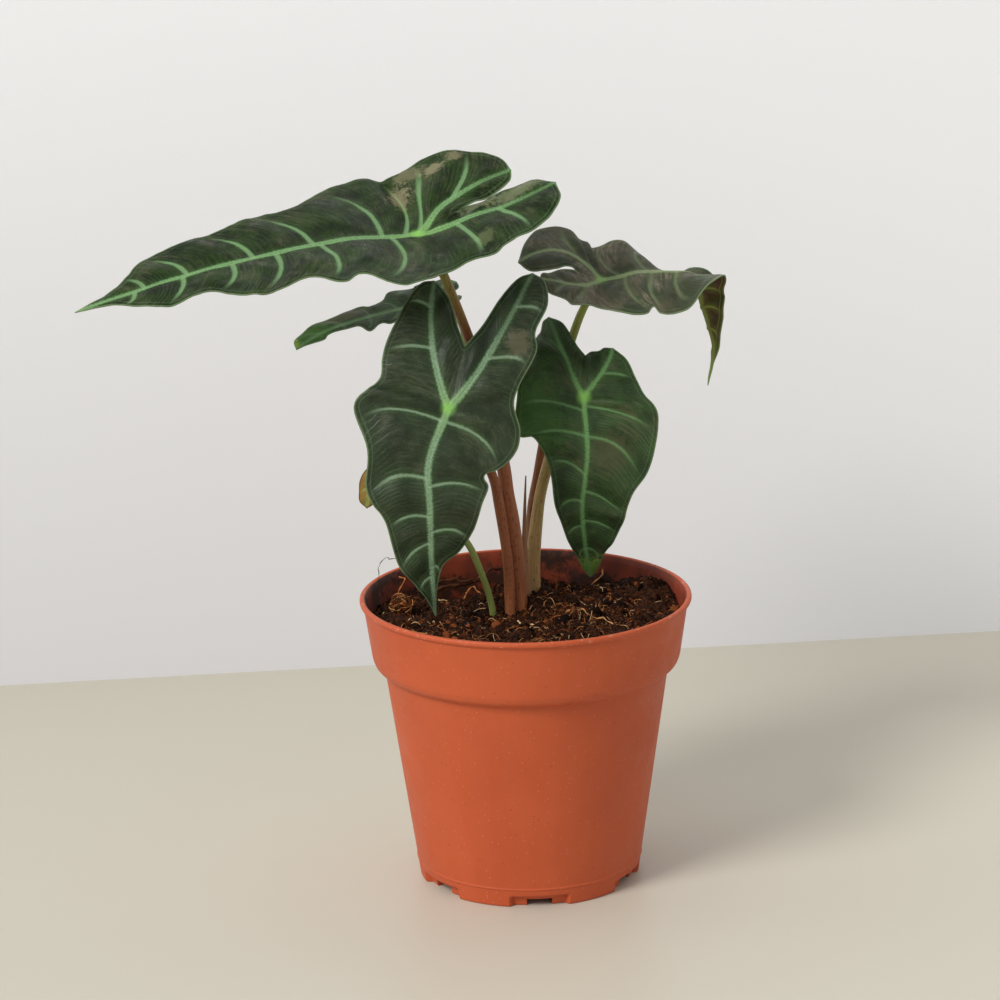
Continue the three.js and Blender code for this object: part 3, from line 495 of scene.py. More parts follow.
# Each row is a radius, a height and the share of the notch's step that the point takes.
POT_OUTSIDE = [
    (PAD_RADIUS, 0, 0), (PAD_RADIUS + 0.5, 0.5, 0), (PAD_RADIUS + 0.5, FLOOR_UNDERSIDE, 0),
    (body_radius(0) - 2.2, FLOOR_UNDERSIDE, 1), (body_radius(0) - 1.7, 0, 1),
    (body_radius(0) - 0.3, 0, 1), (body_radius(0.5), 0.5, 1), (body_radius(3.3), 3.3, 1),
    (body_radius(4.2), 4.2, 0), (body_radius(6.6), 6.6, 0), (body_radius(7) + 0.22, 6.9, 0),
    (body_radius(7) + 0.22, 7.2, 0), (body_radius(7.5), 7.5, 0), (body_radius(40), 40, 0),
    (BODY_TOP_RADIUS, BODY_TOP_HEIGHT, 0), (BODY_TOP_RADIUS + 1.6, BODY_TOP_HEIGHT + 0.7, 0),
    (COLLAR_FOOT_RADIUS - 0.9, COLLAR_FOOT_HEIGHT - 2.2, 0),
    (COLLAR_FOOT_RADIUS, COLLAR_FOOT_HEIGHT, 0), (COLLAR_TOP_RADIUS, COLLAR_TOP + 0.1, 0),
    (RIM_RADIUS - 0.3, COLLAR_TOP + 0.3, 0), (RIM_RADIUS, COLLAR_TOP + 0.9, 0),
    (RIM_RADIUS, POT_HEIGHT - 0.5, 0), (RIM_RADIUS - 0.5, POT_HEIGHT, 0),
    (RIM_RADIUS - 1.5, POT_HEIGHT, 0), (RIM_RADIUS - 2, POT_HEIGHT - 0.5, 0),
]
POT_INSIDE = [
    (COLLAR_TOP_RADIUS - WALL, COLLAR_TOP, 0),
    (COLLAR_FOOT_RADIUS - WALL, COLLAR_FOOT_HEIGHT + 0.6, 0),
    (COLLAR_FOOT_RADIUS - WALL - 0.6, COLLAR_FOOT_HEIGHT - 1, 0),
    (BODY_TOP_RADIUS + 1.2, BODY_TOP_HEIGHT + 1.9, 0),
    (BODY_TOP_RADIUS - WALL, BODY_TOP_HEIGHT + 0.6, 0),
    (body_radius(6) - WALL, 5.8, 0), (body_radius(FLOOR_TOP) - WALL - 0.8, FLOOR_TOP, 0),
]


CORNER = 0.7
CREASE_SHARE = 0.3      # the collar's crease is this much sharper than the other corners


def rounded(section, steps=4):
    """Replaces each corner of a section with a small arc, smallest in the collar's crease."""
    rows = np.asarray(section, float)
    out = [rows[0]]
    for before, corner, after in zip(rows, rows[1:], rows[2:]):
        cuts = []
        for other in (before, after):
            gap = np.linalg.norm((other - corner)[:2])
            reach = CREASE_SHARE * CORNER if corner[1] == BODY_TOP_HEIGHT else CORNER
            cuts.append(corner + (other - corner) * min(reach / max(gap, 1e-9), 0.45))
        for k in range(steps + 1):
            u = k / steps
            out.append((1 - u) ** 2 * cuts[0] + 2 * u * (1 - u) * corner + u**2 * cuts[1])
    out.append(rows[-1])
    return np.array(out)


pot_section = rounded(POT_OUTSIDE + POT_INSIDE)
print("points in the pot's section:", len(pot_section))

# %% Spin the pot
NOTCHES = 6
FIRST_NOTCH_DEG = 5.0
NOTCH_HALF_DEG = 15.5
NOTCH_SLOPE_DEG = 1.6
NOTCH_DEPTH = 2.2
SLOT_HALF_DEG = 6.5
SLOT_HEIGHT = 2.5
SLOT_REACH = (33, 48)       # from inside the foot ring to outside it
POT_TURNS = 432


def notch_share(turn_deg):
    """1 in the middle of a notch, 0 between notches, with a short slope at its ends."""
    pitch = 360 / NOTCHES
    off = np.abs((turn_deg - FIRST_NOTCH_DEG + pitch / 2) % pitch - pitch / 2)
    return 1 - soft_step(NOTCH_HALF_DEG - NOTCH_SLOPE_DEG, NOTCH_HALF_DEG, off)


def spin_pot():
    turns = np.arange(POT_TURNS) * 360 / POT_TURNS
    radius, height, step = pot_section.T[:, :, None]
    reach = radius - step * notch_share(turns)[None] * NOTCH_DEPTH
    angle = np.radians(turns)[None]
    points = np.stack([reach * np.sin(angle), -reach * np.cos(angle), height + 0 * reach], -1)
    rows = len(pot_section)
    faces = grid_faces(rows, POT_TURNS, wrap=True)
    faces.append(tuple(reversed(range(POT_TURNS))))
    faces.append(tuple((rows - 1) * POT_TURNS + k for k in range(POT_TURNS)))
    return make_piece("nursery_pot", points.reshape(-1, 3), faces, smooth_angle=40)


def slot_cutters():
    """Six boxes that reach through the foot ring at the notches' middles."""
    points, faces = [], []
    width = BODY_FOOT_RADIUS * math.sin(math.radians(SLOT_HALF_DEG))
    near, far = SLOT_REACH
    for notch in range(NOTCHES):
        turn = math.radians(FIRST_NOTCH_DEG + notch * 360 / NOTCHES)
        first = len(points)
        for z in (-SLOT_HEIGHT, SLOT_HEIGHT):
            for side, run in ((-width, far), (width, far), (width, near), (-width, near)):
                points.append((side * math.cos(turn) + run * math.sin(turn),
                               side * math.sin(turn) - run * math.cos(turn), z))
        faces += [tuple(first + k for k in face) for face in (
            (3, 2, 1, 0), (4, 5, 6, 7), (0, 1, 5, 4), (1, 2, 6, 5), (2, 3, 7, 6), (3, 0, 4, 7))]
    return make_piece("slot_cutters", points, faces)


def cut(piece, cutter):
    """Takes the cutter's shape out of the piece's mesh."""
    modifier = piece.modifiers.new("cut", "BOOLEAN")
    modifier.object = cutter
    modifier.solver = "EXACT"
    view_layer = bpy.context.evaluated_depsgraph_get()
    mesh = bpy.data.meshes.new_from_object(piece.evaluated_get(view_layer))
    piece.modifiers.clear()
    piece.data = mesh
    bpy.data.objects.remove(cutter)


pot = spin_pot()
cut(pot, slot_cutters())
pot.data.set_sharp_from_angle(angle=math.radians(40))
belongs(pot, "pot", "pot")

# %% [markdown]
# ## Terracotta-coloured plastic
#
# The pot looks like clay but it is matt recycled plastic: one even orange-brown with fine
# pale and dark specks, a faint dust of lime at the lip, and a redder inside with a painted
# shade: it is darker than the outside, and darker still, nearly black, in noisy patches low
# down, at the back and at the left. The specks are dots of a Voronoi texture, and the dust
# is noise that fades with the height below the lip.

# %% Pot finish
COLLAR_FOOT_M = COLLAR_FOOT_HEIGHT * MM


def pot_finish():
    coat = Finish("pot_plastic", Specular_IOR_Level=0.35)
    place = coat.place()
    x, y, z = split(place)
    coat.base(mottle(place, 22.0, 0.2), (185, 80, 42), (195, 88, 48))
    streaks = vector_maths("MULTIPLY", place, (180, 180, 8))
    coat.tint(mottle(streaks, 1.0, 0.25), (206, 112, 76), 0.06)
    coat.tint(specks(place, 900.0, 0.12, 0.3), (222, 150, 118), 0.45)
    coat.tint(specks(place, 620.0, 0.06, 0.26), (118, 52, 32), 0.5)
    lime = remap(cloud(place, 420.0, 4.0, 0.7), 0.56, 0.68) * remap(z, 0.1015, 0.1052)
    coat.tint(lime, (216, 170, 144), 0.4)
    # The wall's middle is a radius that grows with the height; less than that is inside.
    middle = maths("MULTIPLY_ADD", z - COLLAR_FOOT_M, 0.15, 0.0551)
    inside = remap(middle - maths("SQRT", x * x + y * y), 0.0, 0.0003)
    # Painted shade: the inside is darker than the outside, and darker still, nearly black, in noisy patches
    # low down, at the back and at the left.
    shaded_inner_tone = blend(mottle(place, 70.0, 0.2), (150, 62, 36), (110, 48, 30))
    back = remap(abs(x - 0.004), 0.01, 0.026, 0.27, 0.0)
    left = remap(x, -0.055, -0.034, 0.24, 0.0)
    low = remap(z, 0.094, 0.104, 0.3, 0.0)
    darker_patches = cloud(place, 90.0, 6.0, 0.75) + maths("MAXIMUM", maths("MAXIMUM", back, left), low)
    shaded_inner_tone = blend(remap(darker_patches, 0.66, 0.82), shaded_inner_tone, (58, 29, 15))
    coat.tint(inside * maths("GREATER_THAN", z, COLLAR_FOOT_M), shaded_inner_tone)
    coat.rough(mottle(place, 90.0, 0.25), 0.0, 1.0, 0.46, 0.6)
    coat.bump(cloud(place, 1500.0, 2.0), 0.35, 0.12)
    return coat.done()


pot.data.materials.clear()
pot.data.materials.append(pot_finish())

# %% [markdown]
# ## The potting soil
#
# Potting soil is peat and coir: a dark, lumpy, open surface with crumbs and curled fibres
# lying on it. One displaced disc would look like putty, so the surface is built in layers.
# A fine disc carries the mounds and hollows, and its stored tone paints shade into the
# hollows, nearly black. Crumbs of several sizes lie on it, and thin tubes make the fibres. The
# mounds repeat the frame's own soil, so the stems stay well seated.

# %% Soil shape
SOIL_LEVEL = 96.5
SOIL_GAP = 0.3
SOIL_MOST = 104.0
SOIL_MOST_AT_WALL = 102.0
MOUNDS = [
    (10, 12, 17, 4.5), (46, 24, 15, 5.5), (-44, -14, 9, 3), (30, -30, 16, 1.5),
    (-22, 44, 15, -12), (14, 48, 14, -5), (-30, -34, 14, 1.5), (52, -12, 8, 2),
]
LUMP_COUNT = 150
LUMPY_RADIUS = 54.0
INSIDE_HEIGHTS = [row[1] for row in POT_INSIDE][::-1]
INSIDE_RADII = [row[0] for row in POT_INSIDE][::-1]


def seeded(seed):
    """The same row of random numbers on each run."""
    state = seed
    while True:
        state = (state * 1664525 + 1013904223) % 4294967296
        yield state / 4294967296


def soil_lumps():
    draw = seeded(7)
    lumps = []
    for _ in range(LUMP_COUNT):
        turn = next(draw) * 2 * math.pi
        run = math.sqrt(next(draw)) * LUMPY_RADIUS
        reach = 2.4 + 2.2 * next(draw)
        lumps.append((run * math.cos(turn), run * math.sin(turn), reach, -1.2 + 3.8 * next(draw)))
    return lumps


LUMPS = np.array(MOUNDS + soil_lumps(), float)


def soil_height(x, y):
    x, y = np.asarray(x, float)[..., None], np.asarray(y, float)[..., None]
    far = ((x - LUMPS[:, 0]) ** 2 + (y - LUMPS[:, 1]) ** 2) / LUMPS[:, 2] ** 2
    return SOIL_LEVEL + (LUMPS[:, 3] * np.exp(-far)).sum(-1)


def inside_radius(z):
    return np.interp(z, INSIDE_HEIGHTS, INSIDE_RADII)


def soil_piece(name, points, faces, tones, *nodes):
    """A piece of the soil, with a tone for each of its points."""
    piece = make_piece(name, points, faces)
    store(piece, "tone", tones, "FLOAT")
    return belongs(piece, "soil", *nodes)


# %% Soil surface
SOIL_TURNS = 420
SOIL_RINGS = 96
SOIL_UNDERSIDE = 66.0
SOIL_SHELF = 79.0       # just below the step between the pot's body and its collar
CLOD_RELIEF = 2.2
GRIT_RELIEF = 1.4


def soil_ring(turns, height):
    """A ring of points that keeps the soil's gap to the pot's inside."""
    reach = inside_radius(height) - SOIL_GAP
    return np.stack([reach * np.cos(turns), reach * np.sin(turns), height + 0 * turns], -1)


def soil_surface():
    turns = np.arange(SOIL_TURNS) * 2 * math.pi / SOIL_TURNS
    wall = inside_radius(SOIL_LEVEL) - SOIL_GAP
    brim = np.minimum(soil_height(wall * np.cos(turns), wall * np.sin(turns)), SOIL_MOST_AT_WALL)
    edge = inside_radius(brim) - SOIL_GAP
    share = np.linspace(1, 0.004, SOIL_RINGS)[:, None]
    x, y = edge * share * np.cos(turns), edge * share * np.sin(turns)
    z = np.where(share == 1, brim, np.minimum(soil_height(x, y), SOIL_MOST))
    top = np.stack([x, y, z], -1).reshape(-1, 3)
    clods = rough_field(top, 6.0, 3, 4)
    grit = rough_field(top, 1.6, 5, 3)
    calm = np.repeat(soft_step(0, 0.04, 1 - share[:, 0]), SOIL_TURNS)
    top[:, 2] += calm * (CLOD_RELIEF * clods + GRIT_RELIEF * grit)
    skirt = [soil_ring(turns, SOIL_UNDERSIDE), soil_ring(turns, SOIL_SHELF),
             soil_ring(turns, np.maximum(brim - 5, SOIL_SHELF + 0.3))]
    points = np.vstack([*skirt, top, [[0, 0, top[-SOIL_TURNS:, 2].mean()]]])
    faces = grid_faces(SOIL_RINGS + 3, SOIL_TURNS, wrap=True)
    last = (SOIL_RINGS + 2) * SOIL_TURNS
    faces += [(last + k, last + (k + 1) % SOIL_TURNS, len(points) - 1) for k in range(SOIL_TURNS)]
    faces.append(tuple(reversed(range(SOIL_TURNS))))
    # Painted shade: the tone is low in the hollows and 0 on the hidden skirt, and the finish turns a low tone
    # nearly black.
    tones = np.concatenate([np.zeros(3 * SOIL_TURNS), 0.35 + 0.4 * (clods + 0.6 * grit), [0.3]])
    return soil_piece("potting_soil", points, faces, np.clip(tones, 0, 0.7), "soil")


soil = soil_surface()

# %% Crumbs
CRUMB_REACH = 56.0
CRUMB_LIMIT = 56.5      # no crumb reaches past this radius
WHOLE_TURN = 6.3        # radians, just over one turn
FLAT_CHIP = np.array([1.6, 0.7, 0.18])


def random_spot(draw, reach):
    """How far out and which way a bit lies; all of the soil gets its share."""
    return reach * math.sqrt(draw.random()), draw.random() * 2 * math.pi


def crumb_ball(level):
    """The points and faces of a unit icosphere."""
    ball = bmesh.new()
    bmesh.ops.create_icosphere(ball, subdivisions=level, radius=1.0)
    points = np.array([v.co[:] for v in ball.verts])
    faces = [tuple(v.index for v in face.verts) for face in ball.faces]
    ball.free()
    return points, faces


def scatter_crumbs(name, count, sizes, level, seed, sink):
    """Small lumps that lie on the soil and sink in by a share; those that don't sink are chips."""
    draw = np.random.default_rng(seed)
    ball, ball_faces = crumb_ball(level)
    points, faces, tones = [], [], []
    for _ in range(count):
        run, turn = random_spot(draw, CRUMB_REACH)
        flat = 0.55 + 0.45 * draw.random(3) if sink else FLAT_CHIP
        size = sizes[0] + (sizes[1] - sizes[0]) * draw.random() ** 2
        run = min(run, CRUMB_LIMIT - size)
        x, y = run * math.cos(turn), run * math.sin(turn)
        z = min(float(soil_height(x, y)), SOIL_MOST) + size * (0.5 - sink)
        shape = ball * (1 + 0.75 * (draw.random((len(ball), 1)) - 0.5)) * size * flat
        turned = shape @ np.array(Matrix.Rotation(draw.random() * WHOLE_TURN, 3, Vector(draw.normal(size=3))))
        faces += [tuple(len(points) * len(ball) + k for k in face) for face in ball_faces]
        points.append(turned + (x, y, z))
        tones += [draw.random()] * len(ball)
    return soil_piece(name, np.vstack(points), faces, tones)


crumbs = [
    scatter_crumbs("soil_clods", 90, (1.2, 3.2), 3, 11, 0.35),
    scatter_crumbs("soil_crumbs", 1500, (0.4, 1.3), 2, 12, 0.25),
    scatter_crumbs("soil_grit", 3000, (0.2, 0.5), 1, 13, 0.1),
    scatter_crumbs("bark_chips", 170, (0.4, 1.3), 2, 14, 0.0),
]

# %% [markdown]
# ## Fibres
#
# Coir fibres and dead roots are thin tubes that curl a little out of the soil. Each one is a
# short curved path with a round section swept along it. Their tone is random, from straw
# through orange to dark brown, and is stored on the mesh for the material.

# %% Tubes
def tube(path, radii, sides):
    """Points and faces of a closed tube along a path, with a radius for each point."""
    path = np.asarray(path, float)
    along = unit(np.gradient(path, axis=0))
    side = unit(np.cross(along[0], (0.3, 0.2, 1.0)))
    rings = []
    for centre, heading, radius in zip(path, along, radii):
        side = unit(side - heading * (side @ heading))
        other = np.cross(heading, side)
        angle = np.arange(sides) * 2 * math.pi / sides
        rings.append(centre + radius * (np.cos(angle)[:, None] * side + np.sin(angle)[:, None] * other))
    points = np.vstack([*rings, path[:1], path[-1:]])
    count = len(path) * sides
    faces = grid_faces(len(path), sides, wrap=True)
    faces += [((k + 1) % sides, k, count) for k in range(sides)]
    last = count - sides
    faces += [(last + k, last + (k + 1) % sides, count + 1) for k in range(sides)]
    return points, faces


def joined(parts):
    """Several (points, faces) pairs as one."""
    points, faces = [], []
    for part_points, part_faces in parts:
        first = sum(len(p) for p in points)
        points.append(part_points)
        faces += [tuple(first + k for k in face) for face in part_faces]
    return np.vstack(points), faces


# %% Scatter the fibres
FIBRE_REACH = 53.0
FIBRE_LIMIT = 55.5
FIBRE_STEPS = 8
NEST_SHARE = 0.35       # the share of the fibres that lie in one loose nest
NEST_MIDDLE = (17, -9)
NEST_REACH = (13, 11)


def fibre_path(draw, length, curl, lift):
    """A curled line that lies loosely on the soil."""
    run, turn = random_spot(draw, FIBRE_REACH)
    heading, bend = draw.random() * WHOLE_TURN, curl * (draw.random() - 0.5)
    spot = np.array([run * math.cos(turn), run * math.sin(turn)])
    if draw.random() < NEST_SHARE:
        spot = draw.normal(NEST_MIDDLE, NEST_REACH)
    rows, phase = [], draw.random() * WHOLE_TURN
    for k in range(FIBRE_STEPS + 1):
        reach = np.hypot(*spot)
        if reach > FIBRE_LIMIT:
            spot = spot * FIBRE_LIMIT / reach
        ground = min(float(soil_height(*spot)), SOIL_MOST)
        rows.append((*spot, ground + 0.1 + lift * math.sin(phase + 3.5 * (k / FIBRE_STEPS))))
        heading += bend / FIBRE_STEPS + 0.7 * (draw.random() - 0.5)
        spot = spot + length / FIBRE_STEPS * np.array([math.cos(heading), math.sin(heading)])
    return np.array(rows)


def scatter_fibres(name, count, length, radius, seed):
    draw = np.random.default_rng(seed)
    parts, tones = [], []
    for _ in range(count):
        path = fibre_path(draw, length * (0.4 + draw.random()), 2.6, 0.3 + 1.6 * draw.random() ** 2)
        thick = radius * (0.5 + draw.random())
        taper = thick * (0.35 + 0.65 * np.sin(np.linspace(0.15, 2.9, len(path))))
        parts.append(tube(path, taper, 4))
        tones += [draw.random() ** 2.2] * len(parts[-1][0])
    return soil_piece(name, *joined(parts), tones)


fibres = [
    scatter_fibres("coir_fibres", 3500, 5.0, 0.11, 31),
    scatter_fibres("root_threads", 260, 8.0, 0.19, 32),
]

# %% [markdown]
# ## Pieces with a place of their own
#
# A few larger roots and sticks, one hair-thin root at the left and a lump of tangled coir are
# easy to find again on the real soil, so they aren't left to chance. Each root is a smooth
# curve through a few points, roughened a little. The lump is many short arcs round one spot.

# %% Placed roots and coir
# Each row is a tone, a radius and the points of one root, stick or curl.
LOOSE_ROOTS = [
    (0.3, 0.8, [(-36, 20, 97), (-32, 26, 99.5), (-25, 30, 100), (-19, 38, 99.5), (-16, 47, 98)]),
    (0.25, 0.6, [(-40, 30, 98), (-30, 34, 101), (-22, 33, 101.5), (-13, 36, 99)]),
    (0.3, 0.7, [(-12, 28, 97), (-15, 36, 100.5), (-13, 44, 102), (-8, 50, 101)]),
    (0.72, 0.4, [(-23, 19, 97.5), (-22, 22, 99), (-19.5, 27, 99.5), (-15.5, 23, 98.5)]),
    (0.7, 0.35, [(-46, 16, 98), (-46.5, 15, 102), (-44.5, 18, 105.5), (-46, 21, 107)]),
    (0.62, 0.45, [(9, 20, 98), (11, 21, 101), (9.5, 22, 106)]),
    (0.8, 0.35, [(19, 27, 99), (24, 28, 100), (28, 33, 101.5), (29, 38, 103)]),
    (0.85, 0.3, [(14, -2, 99), (22, -6, 100.5), (26, -14, 99), (33, -18, 98.5)]),
    (0.66, 0.3, [(30, 12, 101), (31.5, 3, 99.5), (31, -6, 98.5)]),
    (0.98, 0.35, [(-3, -13, 99), (0, -15, 99.5), (3, -17, 99)]),
    (0.15, 0.16, [(-50, 4, 98), (-53, 10, 105), (-54, 16, 110), (-52, 24, 112), (-47, 33, 110)]),
]
ROOT_STEPS = 24
COIR_LUMP = (-45, 5, 100.5)
COIR_LUMP_REACH = (3.8, 4.2, 3.6)
LUMP_THREADS = 260
THREAD_STEPS = 7


def loose_roots():
    parts, tones = [], []
    for tone, radius, knots in LOOSE_ROOTS:
        path = through(knots, np.linspace(0, len(knots) - 1, ROOT_STEPS))
        wave = rough_field(path, 5.0, radius * 10, 2)[:, None]
        radii = radius * (0.75 + 0.35 * np.sin(np.linspace(0.2, 30, ROOT_STEPS)))
        parts.append(tube(path + 1.3 * wave, radii, 8))
        tones += [tone] * len(parts[-1][0])
    return soil_piece("loose_roots", *joined(parts), tones)


def coir_lump():
    """A ball of tangled coir, as it comes out of a pressed brick."""
    draw = np.random.default_rng(41)
    parts, tones = [], []
    for _ in range(LUMP_THREADS):
        heading, spread = unit(draw.normal(size=3)), unit(draw.normal(size=3))
        u = np.linspace(-1, 1, THREAD_STEPS)[:, None]
        reach = 0.35 + 0.7 * draw.random() + 0.25 * math.sin(3 * heading[0] + 5 * heading[2])
        arc = unit(heading + u * spread) * reach
        radii = np.full(THREAD_STEPS, 0.1 + 0.12 * draw.random())
        parts.append(tube(COIR_LUMP + arc * COIR_LUMP_REACH, radii, 4))
        tones += [0.25 + 0.65 * draw.random() ** 1.5] * len(parts[-1][0])
    return soil_piece("coir_lump", *joined(parts), tones)


fibres += [loose_roots(), coir_lump()]

# %% Soil finish
COIR_TONES = [(0.0, (26, 13, 7)), (0.35, (84, 46, 25)), (0.64, (158, 84, 42)), (0.84, (206, 146, 86)),
              (1.0, (238, 208, 158))]


def soil_finish(name, dark, light, strength):
    coat = Finish(name, Specular_IOR_Level=0.1)
    place, tone = coat.place(), coat.stored("tone", "Fac")
    coat.base(mottle(place, 160.0, 0.18), dark, light)
    coat.tint(remap(tone, 0.72, 1.0), (140, 76, 38))
    coat.tint(mottle(place, 900.0, 0.1), (106, 58, 30), 0.35)
    # A low stored tone turns the colour nearly black: painted shade in the soil surface's hollows and on its
    # skirt, and a random dark tone on some crumbs.
    coat.tint(remap(tone, 0.05, 0.4, 0.85, 0.0), (6, 3, 1))
    coat.tint(specks(place, 420.0, 0.05, 0.25), (150, 118, 84), 0.7)
    coat.rough(mottle(place, 120.0, 0.2), 0.0, 1.0, 0.62, 0.95)
    coat.bump(cloud(place, 1300.0, 5.0, 0.7), strength, 0.6)
    return coat.done()


def fibre_finish():
    coat = Finish("coir", Roughness=0.8, Specular_IOR_Level=0.1)
    place = coat.place()
    coat.ramp(coat.stored("tone", "Fac"), COIR_TONES)
    coat.tint(mottle(place, 500.0, 0.2), (70, 42, 26), 0.35)
    coat.bump(cloud(place, 2500.0, 3.0), 0.4, 0.1)
    return coat.done()


crumb_peat = soil_finish("crumb_peat", (18, 9, 4), (58, 32, 18), 0.7)
coir = fibre_finish()
soil.data.materials.append(soil_finish("peat", (12, 6, 3), (32, 17, 9), 0.9))
for piece in crumbs:
    piece.data.materials.append(crumb_peat)
for piece in fibres:
    piece.data.materials.append(coir)

# %% [markdown]
# ## How a leaf is described
#
# An alocasia leaf is flat as it grows in the bud and bends later. So each blade is drawn flat
# first, and the drawing is then laid on a bent midrib. In the drawing y runs along the midrib
# from the petiole to the tip, x runs to the blade's right, and the back lobes lie at negative
# y. A midrib knot holds a place, the way its upper face looks, and how far each half is
# folded up. The numbers are the frame's own, in millimetres and degrees.

